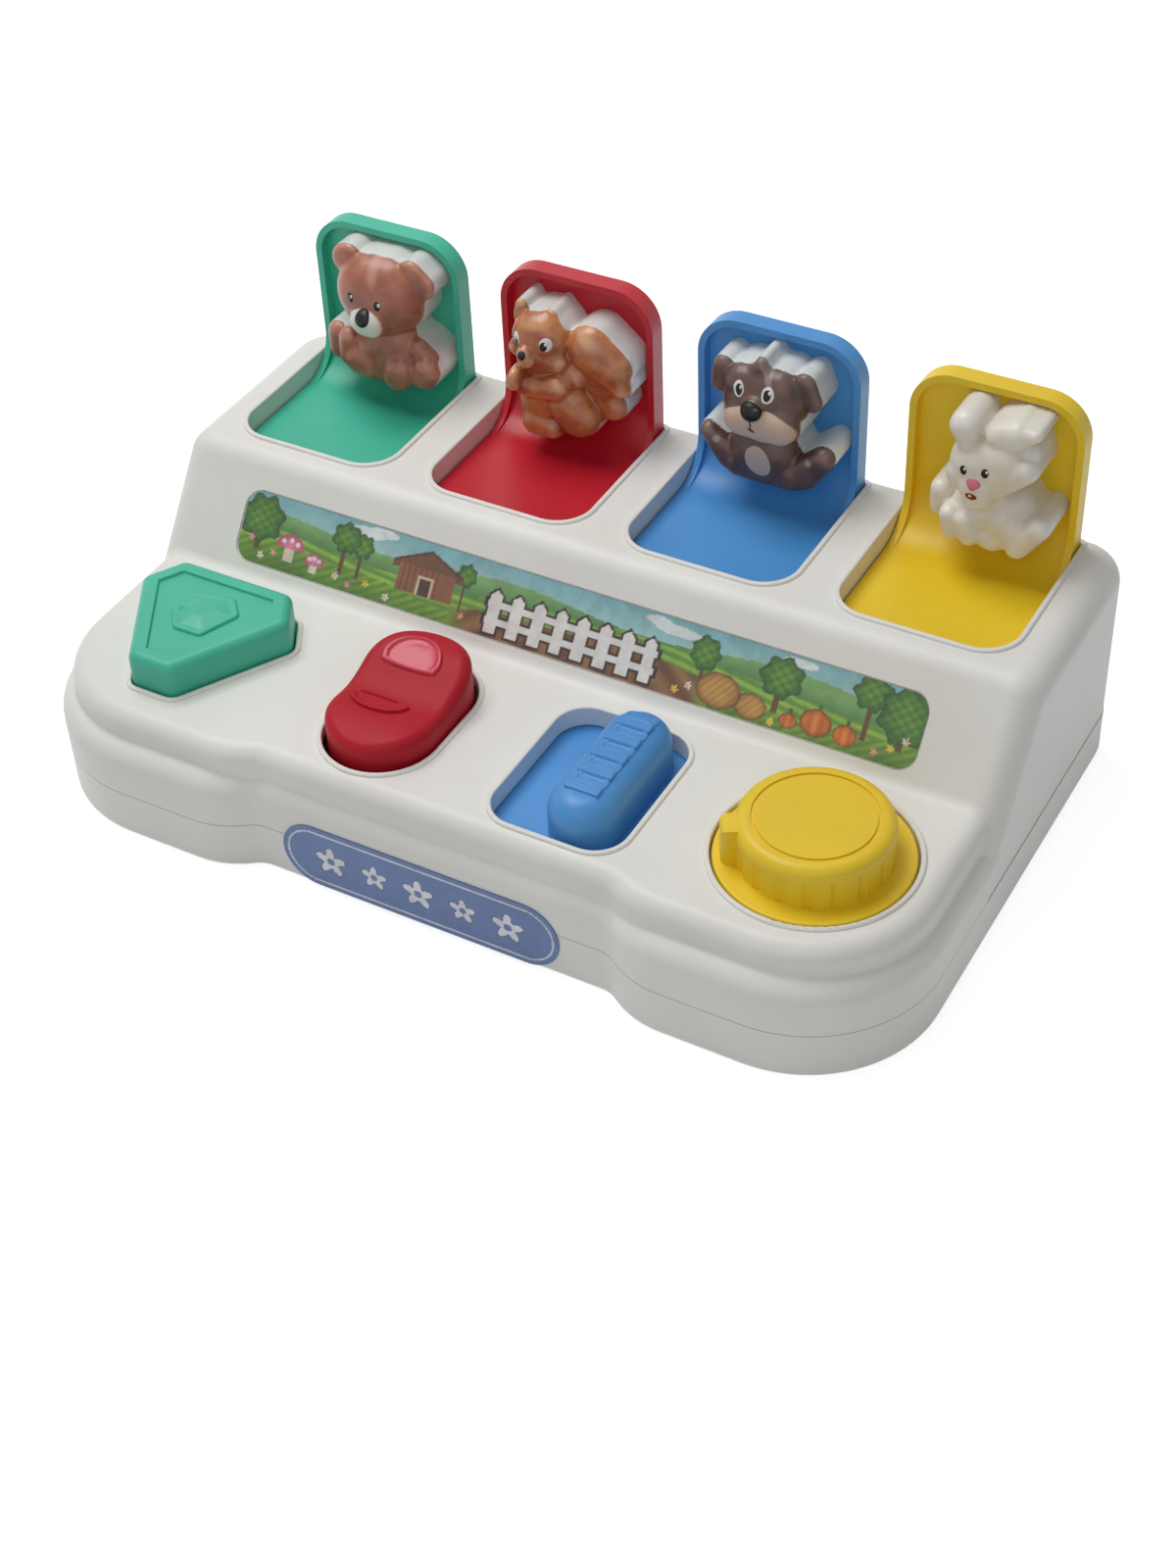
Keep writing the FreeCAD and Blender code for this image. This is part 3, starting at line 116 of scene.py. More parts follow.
def area_light(name, place, size, power):
    data = bpy.data.lights.new(name, "AREA")
    data.shape = "SQUARE"
    data.size = size
    data.energy = power
    obj = bpy.data.objects.new(name, data)
    bpy.context.scene.collection.objects.link(obj)
    direction = Vector(LIGHT_TARGET) - Vector(place)
    obj.location = place
    obj.rotation_euler = direction.to_track_quat("-Z", "Y").to_euler()


def lighting():
    for name, lamp in LAMPS.items():
        area_light(name, *lamp)
    world = bpy.data.worlds.new("studio")
    bpy.context.scene.world = world
    world.use_nodes = True
    tree = world.node_tree
    tree.nodes.clear()
    out = tree.nodes.new("ShaderNodeOutputWorld")
    soft = tree.nodes.new("ShaderNodeBackground")
    soft.inputs["Color"].default_value = SKY_COLOUR
    soft.inputs["Strength"].default_value = SKY_STRENGTH
    white = tree.nodes.new("ShaderNodeBackground")
    white.inputs["Color"].default_value = (1, 1, 1, 1)
    white.inputs["Strength"].default_value = 1.0
    pick = tree.nodes.new("ShaderNodeMixShader")
    tree.links.new(seen_directly(tree), pick.inputs[0])
    tree.links.new(soft.outputs[0], pick.inputs[1])
    tree.links.new(white.outputs[0], pick.inputs[2])
    tree.links.new(pick.outputs[0], out.inputs["Surface"])


def seen_directly(tree):
    """1 for camera, glossy and transmission rays, so that gloss shows the white backdrop too."""
    path = tree.nodes.new("ShaderNodeLightPath")
    first = tree.nodes.new("ShaderNodeMath")
    first.operation = "MAXIMUM"
    second = tree.nodes.new("ShaderNodeMath")
    second.operation = "MAXIMUM"
    tree.links.new(path.outputs["Is Camera Ray"], first.inputs[0])
    tree.links.new(path.outputs["Is Transmission Ray"], first.inputs[1])
    tree.links.new(first.outputs[0], second.inputs[0])
    tree.links.new(path.outputs["Is Glossy Ray"], second.inputs[1])
    return second.outputs[0]


def floor():
    bm = bmesh.new()
    bmesh.ops.create_grid(bm, x_segments=1, y_segments=1, size=FLOOR_SIZE)
    mesh = bpy.data.meshes.new("floor")
    bm.to_mesh(mesh)
    bm.free()
    obj = bpy.data.objects.new("floor", mesh)
    bpy.context.scene.collection.objects.link(obj)
    obj.location.z = -FLOOR_DEPTH
    material = bpy.data.materials.new("white_floor")
    material.use_nodes = True
    tree = material.node_tree
    shader = tree.nodes["Principled BSDF"]
    shader.inputs["Base Color"].default_value = (FLOOR_SHADE, FLOOR_SHADE, FLOOR_SHADE, 1)
    shader.inputs["Roughness"].default_value = 0.9
    # what the camera sees of it is lifted to white, and the toy's shadow stays
    lift = tree.nodes.new("ShaderNodeEmission")
    lift.inputs["Color"].default_value = (FLOOR_LIFT, FLOOR_LIFT, FLOOR_LIFT, 1)
    tree.links.new(seen_directly(tree), lift.inputs["Strength"])
    lit = tree.nodes.new("ShaderNodeAddShader")
    tree.links.new(shader.outputs[0], lit.inputs[0])
    tree.links.new(lift.outputs[0], lit.inputs[1])
    tree.links.new(lit.outputs[0], tree.nodes["Material Output"].inputs["Surface"])
    mesh.materials.append(material)


camera()
lighting()
floor()


# ---------------------------------------------------------------- finishes
def srgb(red, green, blue):
    """A colour given as it looks on a screen, 0 to 255, as the linear colour that a shader takes."""
    def channel(value):
        share = value / 255
        return share / 12.92 if share <= 0.04045 else ((share + 0.055) / 1.055) ** 2.4
    return (channel(red), channel(green), channel(blue), 1)


class Finish:
    """A material and short ways to add nodes to it."""

    def __init__(self, name):
        self.material = bpy.data.materials.new(name)
        self.material.use_nodes = True
        self.tree = self.material.node_tree
        self.shader = self.tree.nodes["Principled BSDF"]
        self.coords = self.tree.nodes.new("ShaderNodeTexCoord").outputs["Object"]

    def link(self, source, target):
        self.tree.links.new(source, target)

    def feed(self, socket, value):
        if isinstance(value, bpy.types.NodeSocket):
            self.link(value, socket)
        else:
            socket.default_value = value

    def noise(self, size_mm, detail=2.0, roughness=0.5):
        node = self.tree.nodes.new("ShaderNodeTexNoise")
        node.inputs["Scale"].default_value = 1 / (size_mm * MM)
        node.inputs["Detail"].default_value = detail
        node.inputs["Roughness"].default_value = roughness
        self.link(self.coords, node.inputs["Vector"])
        return node.outputs["Fac"]

    def maths(self, operation, first, second=0.5, third=0.0):
        node = self.tree.nodes.new("ShaderNodeMath")
        node.operation = operation
        for socket, value in zip(node.inputs, (first, second, third)):
            self.feed(socket, value)
        return node.outputs[0]

    def ramp(self, value, low, high, to_low=0.0, to_high=1.0):
        node = self.tree.nodes.new("ShaderNodeMapRange")
        node.interpolation_type = "SMOOTHSTEP"
        self.feed(node.inputs["Value"], value)
        ends = {"From Min": low, "From Max": high, "To Min": to_low, "To Max": to_high}
        for name, number in ends.items():
            self.feed(node.inputs[name], number)
        return node.outputs["Result"]

    def mix(self, share, first, second):
        node = self.tree.nodes.new("ShaderNodeMix")
        node.data_type = "RGBA"
        self.feed(node.inputs["Factor"], share)
        self.feed(node.inputs[6], first)
        self.feed(node.inputs[7], second)
        return node.outputs[2]

    def split(self):
        node = self.tree.nodes.new("ShaderNodeSeparateXYZ")
        self.link(self.coords, node.inputs[0])
        return node.outputs

    def attribute(self, name):
        node = self.tree.nodes.new("ShaderNodeAttribute")
        node.attribute_name = name
        return node.outputs["Fac"]

    def bump(self, height, depth_mm):
        node = self.tree.nodes.new("ShaderNodeBump")
        node.inputs["Distance"].default_value = depth_mm * MM
        node.inputs["Strength"].default_value = 1.0
        self.link(height, node.inputs["Height"])
        self.link(node.outputs["Normal"], self.shader.inputs["Normal"])

    def oval(self, x, z, across, tall, tilt, soft):
        """1 inside an oval in the XZ plane and 0 outside it; its size is in millimetres."""
        sx, _, sz = self.split()
        turn = math.radians(tilt)
        dx = self.maths("SUBTRACT", sx, x * MM)
        dz = self.maths("SUBTRACT", sz, z * MM)
        a = self.maths("ADD", self.maths("MULTIPLY", dx, math.cos(turn)),
                       self.maths("MULTIPLY", dz, math.sin(turn)))
        b = self.maths("SUBTRACT", self.maths("MULTIPLY", dz, math.cos(turn)),
                       self.maths("MULTIPLY", dx, math.sin(turn)))
        a = self.maths("POWER", self.maths("ABSOLUTE", self.maths("DIVIDE", a, across * MM)), 2.0)
        b = self.maths("POWER", self.maths("ABSOLUTE", self.maths("DIVIDE", b, tall * MM)), 2.0)
        reach = self.maths("SQRT", self.maths("ADD", a, b))
        return self.ramp(reach, 1 - soft, 1 + soft, 1.0, 0.0)


SHEEN_CHANGE = 0.06
JOINT_SHADOW = srgb(96, 94, 88)
CLEAN_WHITE = (226, 227, 222)


def moulded_plastic(name, colour, shade, roughness, grain_mm, grain_depth, joint_z=None, gloss=0.45):
    """Injection-moulded plastic: an even colour with faint flow marks and a fine eroded grain."""
    finish = Finish(name)
    cloud = finish.noise(38, 3.0)
    fine = finish.noise(grain_mm, 2.0, 0.6)
    speck = finish.noise(grain_mm * 2.2, 1.0)
    tone = finish.ramp(cloud, 0.30, 0.70)
    tint = finish.mix(tone, shade, colour)
    if joint_z is not None:
        # the hairline shadow where two mouldings meet
        height = finish.maths("ABSOLUTE", finish.maths("SUBTRACT", finish.split()[2], joint_z * MM))
        tint = finish.mix(finish.ramp(height, 0.05 * MM, 0.22 * MM, 0.62, 0.0), tint, JOINT_SHADOW)
    finish.link(tint, finish.shader.inputs["Base Color"])
    uneven = finish.maths("MULTIPLY_ADD", speck, SHEEN_CHANGE, roughness - SHEEN_CHANGE / 2)
    finish.link(uneven, finish.shader.inputs["Roughness"])
    finish.shader.inputs["Specular IOR Level"].default_value = gloss
    finish.bump(fine, grain_depth)
    return finish.material


def drawn_wire(name, colour, roughness):
    """Bright steel with fine marks along it."""
    finish = Finish(name)
    marks = finish.noise(0.6, 3.0, 0.7)
    finish.link(finish.mix(marks, colour, tuple(min(1, c * 1.25) for c in colour[:3]) + (1,)),
                finish.shader.inputs["Base Color"])
    finish.shader.inputs["Metallic"].default_value = 1.0
    uneven = finish.ramp(marks, 0.2, 0.8, roughness - 0.08, roughness + 0.08)
    finish.link(uneven, finish.shader.inputs["Roughness"])
    finish.bump(marks, 0.01)
    return finish.material


def painted_figure(name, paint, dark_and_crease_shade, highlight_colour, roughness=0.38, speckle=0.10, bare=CLEAN_WHITE, patches=()):
    """White moulding with a sprayed front whose coat thins at its rim, with painted highlights on its high
    spots and painted shade in its creases.
    """
    finish = Finish(name)
    shader = finish.shader
    grain = finish.noise(0.55, 3.0, 0.6)
    cloud = finish.noise(7.0, 2.0)
    front = finish.attribute("front")
    hollow = finish.attribute("hollow")
    ragged = finish.maths("MULTIPLY_ADD", grain, speckle, front)
    ragged = finish.maths("MULTIPLY_ADD", cloud, 0.10, ragged)
    coat = finish.ramp(ragged, 0.24, 0.31)
    # painted highlight: the coat is lightened on high spots, broken up by the grain
    painted_highlight = finish.ramp(finish.maths("MULTIPLY_ADD", grain, -0.22, hollow), -0.42, -0.20, 1.0, 0.0)
    tone = finish.mix(finish.ramp(cloud, 0.3, 0.7), srgb(*paint), srgb(*dark_and_crease_shade))
    # painted shade: the coat is darkened in creases
    tone = finish.mix(finish.ramp(hollow, 0.02, 0.30), tone, srgb(*dark_and_crease_shade))
    tone = finish.mix(finish.maths("MULTIPLY", painted_highlight, 0.55), tone, srgb(*highlight_colour))
    colour = COLOURS[ANIMALS.index(name.split("_")[0])]
    middle = middle_x(lid_boxes[colour])
    # each patch is an oval of other paint or of painted highlight: colour, middle across and up, half size
    # across and up, tilt, softness and strength
    for patch, across, up, half_across, half_up, tilt, soft, share in patches:
        oval = finish.oval(middle + across, PLATE_TOP_Z + up, half_across, half_up, tilt, soft)
        tone = finish.mix(finish.maths("MULTIPLY", oval, share), tone, srgb(*patch))
    white = finish.mix(finish.ramp(cloud, 0.3, 0.7), srgb(*bare), srgb(*[channel - 8 for channel in bare]))
    finish.link(finish.mix(coat, white, tone), shader.inputs["Base Color"])
    finish.link(finish.ramp(grain, 0.3, 0.7, roughness - 0.05, roughness + 0.06), shader.inputs["Roughness"])
    shader.inputs["Coat Weight"].default_value = 0.25
    shader.inputs["Coat Roughness"].default_value = 0.22
    finish.bump(grain, 0.035)
    return finish.material


def enamel(name, colour, shade, roughness=0.25):
    """Glossy paint for eyes, noses and mouths, and for the painted highlights on them, a little uneven as a
    pad print is.
    """
    finish = Finish(name)
    cloud = finish.noise(1.3, 2.0)
    grain = finish.noise(0.25, 2.0)
    finish.link(finish.mix(cloud, srgb(*shade), srgb(*colour)), finish.shader.inputs["Base Color"])
    uneven = finish.ramp(grain, 0.3, 0.7, roughness - 0.05, roughness + 0.08)
    finish.link(uneven, finish.shader.inputs["Roughness"])
    finish.shader.inputs["Specular IOR Level"].default_value = 0.3
    finish.bump(cloud, 0.02)
    return finish.material


def printed_film(name):
    """Glossy printed label: each patch has its own ink, with a fine screen grain under a clear film."""
    finish = Finish(name)
    ink = finish.tree.nodes.new("ShaderNodeAttribute")
    ink.attribute_name = "ink"
    screen = finish.noise(0.35, 2.0, 0.7)
    wash = finish.noise(5.0, 3.0, 0.6)
    shade = finish.tree.nodes.new("ShaderNodeHueSaturation")
    finish.link(ink.outputs["Color"], shade.inputs["Color"])
    depth = finish.maths("MULTIPLY_ADD", screen, 0.16, finish.ramp(wash, 0.3, 0.7, 0.78, 1.02))
    finish.link(depth, shade.inputs["Value"])
    finish.link(shade.outputs["Color"], finish.shader.inputs["Base Color"])
    finish.link(finish.ramp(wash, 0.3, 0.7, 0.30, 0.38), finish.shader.inputs["Roughness"])
    finish.shader.inputs["Coat Weight"].default_value = 0.2
    finish.bump(wash, 0.02)
    return finish.material


# each row is a moulded plastic: colour, shade, roughness, size and depth of the grain,
# then the height of the joint between two mouldings, if one shows, and the gloss
PLASTICS = {
    "housing_white": (srgb(236, 234, 228), srgb(231, 228, 221), 0.46, 0.42, 0.016, 15.5),
    "green_plastic": (srgb(70, 190, 160), srgb(62, 181, 151), 0.40, 0.38, 0.010),
    "red_plastic": (srgb(201, 30, 48), srgb(190, 25, 42), 0.33, 0.45, 0.007),
    "blue_plastic": (srgb(82, 154, 218), srgb(72, 144, 210), 0.40, 0.38, 0.010),
    "yellow_plastic": (srgb(243, 209, 40), srgb(236, 199, 32), 0.42, 0.38, 0.013),
    "inner_plastic": (srgb(228, 227, 220), srgb(220, 218, 210), 0.5, 0.5, 0.008),
    "rocker_red": (srgb(186, 28, 44), srgb(176, 24, 38), 0.50, 0.45, 0.006, None, 0.2),
    "pad_red": (srgb(214, 62, 84), srgb(204, 52, 74), 0.24, 0.5, 0.003, None, 0.35),
}
FINISHES = {name: moulded_plastic(name, *row) for name, row in PLASTICS.items()}
FINISHES |= {
    "steel": drawn_wire("steel", (0.62, 0.63, 0.65, 1), 0.30),
    "spring_steel": drawn_wire("spring_steel", (0.50, 0.51, 0.54, 1), 0.34),
    "bear_figure": painted_figure("bear_figure", (178, 108, 80), (146, 80, 58), (214, 160, 136),
                                  patches=[((224, 222, 210), 1.9, 29.5, 5.5, 4.5, 0, 0.05, 1.0),
                                           # a painted highlight: lighter on top of the head
                                           ((206, 150, 128), 3.2, 45.0, 1.6, 4.2, 12, 0.6, 0.7)]),
    "squirrel_figure": painted_figure("squirrel_figure", (200, 126, 70), (156, 78, 40), (232, 184, 144), 0.30,
                                      # both patches are painted highlights, lighter on the tops of the head
                                      # and the tail
                                      patches=[((228, 180, 138), 9.0, 39.0, 3.4, 1.6, -30, 0.7, 0.7),
                                               ((226, 170, 120), -6.4, 41.2, 3.4, 1.2, 10, 0.8, 0.6)]),
    "puppy_figure": painted_figure("puppy_figure", (98, 66, 56), (66, 42, 36), (134, 106, 96), 0.45, 0.16,
                                   patches=[((206, 178, 156), 0.8, 29.4, 10.9, 5.9, 0, 0.03, 1.0),
                                            ((98, 66, 56), -0.6, 36.4, 3.6, 3.4, 0, 0.05, 1.0),
                                            ((186, 168, 158), 0.6, 17.7, 3.6, 4.6, 24, 0.03, 1.0),
                                            # a painted highlight: a pale streak on top of the head
                                            ((150, 128, 122), 1.6, 44.4, 1.0, 4.6, 28, 0.35, 0.85),
                                            ((170, 150, 142), -12.8, 20.0, 1.0, 0.9, 0, 0.5, 0.8),
                                            ((170, 150, 142), 14.6, 20.2, 1.0, 0.9, 0, 0.5, 0.8)]),
    "rabbit_figure": painted_figure("rabbit_figure", (233, 228, 217), (222, 213, 197), (240, 237, 230),
                                    0.46, 0.05, (233, 228, 217)),
    "banner_print": printed_film("banner_print"),
    "badge_print": printed_film("badge_print"),
}
SPOT_PAINTS_AND_HIGHLIGHTS = {
    "black": enamel("black_enamel", (14, 12, 13), (8, 7, 8), 0.34),
    # white paint for eyes and mouths, and the painted glints on the eyes
    "white": enamel("white_paint_and_glints", (240, 238, 234), (228, 226, 220)),
    # pale grey: a painted highlight on the noses
    "nose_highlight": enamel("painted_nose_highlight", (96, 90, 90), (76, 70, 72), 0.36),
    "pink": enamel("pink_enamel", (222, 126, 142), (206, 106, 124), 0.34),
    "red": enamel("red_enamel", (150, 42, 36), (120, 30, 28), 0.30),
    "dusk": enamel("dusk_enamel", (70, 40, 34), (54, 30, 26), 0.34),
}


# ---------------------------------------------------------------- moulded pieces
def new_object(name, bm, material):
    mesh = bpy.data.meshes.new(name)
    bm.to_mesh(mesh)
    bm.free()
    mesh.materials.append(material)
    obj = bpy.data.objects.new(name, mesh)
    bpy.context.scene.collection.objects.link(obj)
    return obj


CORNER_DEGREES = 40.0
PAD_CORNER_DEGREES = 50.0
WELD = 0.002
FLAT_DEGREES = 0.6


def smooth_faces(bm):
    for face in bm.faces:
        face.smooth = True


def soft_shading(obj, sharp_degrees):
    """Smooth shading that keeps true corners, with normals led by the large faces."""
    bm = bmesh.new()
    bm.from_mesh(obj.data)
    limit = math.radians(sharp_degrees)
    smooth_faces(bm)
    for edge in bm.edges:
        edge.smooth = len(edge.link_faces) == 2 and edge.calc_face_angle(0) < limit
    bm.to_mesh(obj.data)
    bm.free()
    weighted = obj.modifiers.new("weighted_normals", "WEIGHTED_NORMAL")
    weighted.keep_sharp = True
    weighted.weight = 100


def moulded_copy(node, edge_mm=0.0):
    """A smooth-shaded copy of a node, with its sharp edges rounded as moulded edges are."""
    bm = bmesh.new()
    bm.from_mesh(frame["nodes"][node].data)
    bmesh.ops.remove_doubles(bm, verts=bm.verts, dist=WELD * MM)
    if edge_mm:
        bmesh.ops.dissolve_limit(bm, angle_limit=math.radians(FLAT_DEGREES), use_dissolve_boundaries=False,
                                 verts=bm.verts, edges=bm.edges)
    obj = new_object(node + "_moulded", bm, FINISHES[slot_of[node]])
    if edge_mm:
        bevel = obj.modifiers.new("rounded_edges", "BEVEL")
        bevel.width = edge_mm * MM
        bevel.segments = 2
        bevel.limit_method = "ANGLE"
        bevel.angle_limit = math.radians(CORNER_DEGREES - 5)
        bevel.use_clamp_overlap = True
    soft_shading(obj, CORNER_DEGREES)
    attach(obj, body_of[node])
    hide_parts(node)
    return obj


def finish_hidden_nodes():
    """The solids that show as they are, or only inside, get their finish without a copy."""
    for node, obj in frame["nodes"].items():
        material = FINISHES.get(slot_of[node])
        if material:
            obj.data.materials.clear()
            obj.data.materials.append(material)


# ---------------------------------------------------------------- animal figures
# a figure is drawn on its lid: across from the lid's middle, up from the floor plate, out from the lid's wall
VOXEL = 0.34
SMOOTHING = 12
HOLLOW_SMOOTHING = 45
SUNK_BACK = 0.6
SPHERE_SEGMENTS, SPHERE_RINGS = 36, 18
# 1 makes a limb's front an ellipse, and less makes it fuller
FULLNESS = 0.86
END_SHARPNESS = 40
# a distance from the wall that is in front of every figure
FRONT_OF_ALL = 40
SPOT_SEGMENTS = 36
SPOT_RINGS = (0.96, 0.84, 0.70, 0.54, 0.36, 0.18)
SPOT_COAT, SPOT_RIM_SUNK, SPOT_RIM_SHARE, SPOT_DOME = 0.03, 0.25, 0.02, 0.6

# each row is a limb: across, up and radius of its two ends, then its front and the height of its dome
LIMBS = {
    "bear": [
        (0.0, 35.0, 12.0, 5.0, 35.2, 12.0, 18.2, 11.0), (2.5, 33.0, 11.0, 2.5, 33.0, 11.0, 18.0, 9.0),
        (-8.6, 43.0, 4.9, -8.0, 43.4, 4.6, 11.4, 1.6), (13.0, 43.6, 4.0, 16.2, 40.6, 4.3, 11.8, 1.8),
        (1.0, 29.4, 4.9, 3.4, 29.4, 4.9, 21.0, 5.5),
        (0.5, 15.0, 10.6, 4.5, 17.5, 10.6, 16.0, 9.5), (-13.4, 18.6, 3.7, -13.2, 13.4, 3.8, 13.6, 4.0),
        (-8.0, 19.5, 3.6, -7.6, 13.5, 4.4, 16.2, 4.4), (13.4, 19.0, 4.4, 16.6, 16.4, 4.6, 13.4, 4.6),
        (-5.0, 13.4, 5.2, -1.8, 12.6, 5.0, 17.2, 5.2), (8.5, 11.6, 4.9, 9.4, 13.6, 5.0, 18.2, 5.0),
        (15.8, 12.8, 4.8, 17.0, 14.8, 4.7, 15.8, 4.8),
    ],
    "squirrel": [
        (-7.0, 35.0, 8.4, -5.6, 35.2, 8.4, 17.4, 8.2), (-7.0, 30.8, 6.4, -6.0, 30.8, 6.4, 17.6, 6.4),
        (-3.6, 31.0, 4.6, 0.4, 30.4, 3.2, 16.8, 4.2), (-12.6, 31.4, 2.8, -13.4, 31.6, 2.4, 15.5, 3.0),
        (-13.2, 39.6, 2.7, -13.2, 43.2, 1.7, 11.2, 1.2), (-2.0, 39.2, 2.9, -3.4, 42.6, 1.7, 11.6, 1.2),
        (-6.0, 13.5, 8.4, -5.6, 17.0, 9.0, 16.4, 8.0), (-11.6, 23.6, 2.9, -11.2, 26.6, 1.7, 21.0, 3.8),
        (-9.6, 21.4, 3.4, 0.4, 23.0, 4.0, 18.6, 4.2), (-8.0, 33.2, 2.8, -7.6, 31.8, 3.4, 20.2, 4.2),
        (3.2, 16.4, 6.9, 5.6, 13.8, 6.6, 17.8, 6.4), (-7.6, 9.2, 4.4, -2.4, 8.8, 3.6, 17.4, 3.8),
        (8.8, 34.4, 7.6, 15.2, 30.4, 6.4, 14.8, 6.4), (15.2, 30.4, 6.2, 18.7, 25.4, 3.0, 14.2, 5.2),
        (7.0, 28.4, 5.4, 12.5, 24.6, 5.0, 13.2, 4.2), (1.6, 27.4, 3.8, 4.4, 25.8, 3.8, 15.2, 4.0),
        (11.2, 21.4, 5.6, 14.2, 17.6, 4.8, 12.2, 4.2),
    ],
    "puppy": [
        (-3.2, 33.5, 9.5, 2.8, 33.5, 9.8, 17.4, 9.4), (-6.0, 38.2, 5.8, 4.4, 38.2, 6.4, 16.2, 6.8),
        (-0.8, 42.4, 4.6, -0.6, 46.2, 1.5, 14.2, 3.6),
        (-13.7, 35.4, 2.5, -12.7, 41.0, 3.0, 12.2, 1.8), (13.3, 36.8, 3.2, 11.4, 41.6, 3.2, 12.6, 1.8),
        (-4.4, 30.0, 6.0, 6.0, 30.0, 6.2, 19.2, 6.0), (-0.2, 34.6, 3.4, -0.2, 34.8, 3.4, 20.4, 4.0),
        (-1.5, 17.6, 9.2, 2.0, 17.6, 9.2, 16.7, 8.5), (-7.0, 13.2, 4.6, 9.0, 13.2, 4.8, 15.6, 4.8),
        (-15.9, 21.0, 2.8, -9.6, 14.6, 4.8, 15.0, 4.0), (18.1, 21.4, 3.5, 12.0, 14.6, 5.0, 15.2, 4.4),
    ],
    "rabbit": [
        (-1.6, 33.2, 7.0, 5.0, 34.2, 8.0, 17.7, 7.8), (0.4, 27.8, 5.8, 0.9, 25.6, 4.6, 18.8, 5.6),
        (-4.6, 30.2, 4.0, -4.0, 29.0, 4.0, 17.4, 4.4), (4.6, 28.2, 3.8, 12.8, 35.2, 3.5, 16.8, 4.2),
        (12.2, 38.2, 3.0, 12.6, 39.0, 2.8, 13.4, 3.2),
        (-4.4, 43.4, 4.7, -2.8, 38.8, 2.9, 16.6, 4.9), (4.4, 42.4, 4.0, 9.0, 43.8, 4.2, 15.4, 4.6),
        (9.0, 43.8, 4.1, 14.2, 45.6, 1.9, 14.8, 3.8),
        (-0.5, 15.8, 8.4, 6.6, 17.2, 9.4, 16.0, 9.0), (-11.0, 20.6, 3.1, -11.0, 15.6, 3.0, 12.8, 3.6),
        (-6.6, 17.0, 2.8, -5.4, 12.6, 3.0, 17.6, 3.2), (-2.0, 17.0, 2.6, -0.6, 12.4, 3.1, 18.0, 3.2),
        (7.2, 17.6, 6.2, 9.4, 15.4, 6.2, 16.8, 5.6), (12.2, 11.8, 3.5, 17.6, 19.0, 3.3, 16.9, 3.8),
        (4.2, 12.4, 3.9, 5.4, 12.2, 3.9, 16.6, 3.8),
    ],
}

# each row is a painted spot: paint, middle and half size (across, up), tilt and how far it stands out; the
# pale grey spots on the noses and the small white spots on the eyes are painted highlights
SPOTS = {
    "bear": [
        # the pale grey spot on the nose and the small white spots on the eyes are painted highlights
        ("black", 2.0, 31.8, 2.35, 2.45, -12, 0.9), ("nose_highlight", 2.9, 32.9, 0.6, 0.4, -20, 1.0),
        ("black", -3.0, 36.3, 0.95, 1.5, 8, 0.22), ("black", 6.0, 35.7, 1.1, 1.55, -8, 0.22),
        ("white", -2.6, 36.6, 0.45, 0.62, 0, 0.36), ("white", 6.6, 36.1, 0.52, 0.7, 0, 0.36),
    ],
    "squirrel": [
        ("white", -11.4, 36.4, 1.2, 1.9, 10, 0.2), ("white", -2.0, 36.7, 1.8, 2.0, -6, 0.2),
        ("black", -11.1, 35.9, 0.6, 1.35, 6, 0.34), ("black", -2.5, 36.3, 1.15, 1.5, -6, 0.34),
        # painted highlights: the small white spots on the eyes and the pale grey spot on the nose
        ("white", -10.9, 36.6, 0.25, 0.42, 0, 0.46), ("white", -2.0, 36.9, 0.42, 0.5, 0, 0.46),
        ("black", -7.9, 33.6, 1.15, 1.3, -8, 0.7), ("nose_highlight", -7.6, 34.1, 0.32, 0.26, 0, 0.9),
        ("red", -6.6, 28.9, 0.8, 0.4, -20, 0.14),
    ],
    "puppy": [
        ("white", -5.3, 39.0, 1.6, 2.3, 4, 0.18), ("white", 3.2, 39.2, 1.85, 2.3, -6, 0.18),
        ("black", -5.15, 38.9, 1.1, 1.75, 4, 0.32), ("black", 3.1, 39.1, 1.25, 1.75, -6, 0.32),
        # painted highlights: the small white spots on the eyes and the pale grey spot on the nose
        ("white", -4.7, 39.5, 0.42, 0.62, 0, 0.46), ("white", 3.7, 39.8, 0.48, 0.62, 0, 0.46),
        ("black", -0.3, 35.0, 3.1, 2.7, -6, 1.1), ("nose_highlight", 1.3, 36.2, 0.85, 0.4, -25, 1.15),
        ("dusk", -0.5, 31.0, 0.22, 1.7, 6, 0.24), ("dusk", -0.2, 29.1, 1.15, 0.36, -26, 0.24),
    ],
    "rabbit": [
        ("black", -2.7, 33.4, 0.95, 1.4, 6, 0.18), ("black", 3.2, 34.1, 1.05, 1.45, -6, 0.18),
        # painted highlights: the small white spots on the eyes
        ("white", -2.3, 33.9, 0.34, 0.48, 0, 0.32), ("white", 3.7, 34.6, 0.38, 0.5, 0, 0.32),
        ("pink", 0.5, 30.5, 2.0, 1.25, -4, 0.5), ("pink", 0.4, 29.8, 1.25, 1.15, 0, 0.5),
        ("red", 0.3, 26.9, 1.65, 0.95, -4, 0.14), ("white", 0.1, 27.1, 0.55, 0.36, 0, 0.26),
    ],
}


def lid_point(origin, across, up, out):
    """A place on a lid, from the foot of its wall."""
    return origin + mm(across, -out, up)


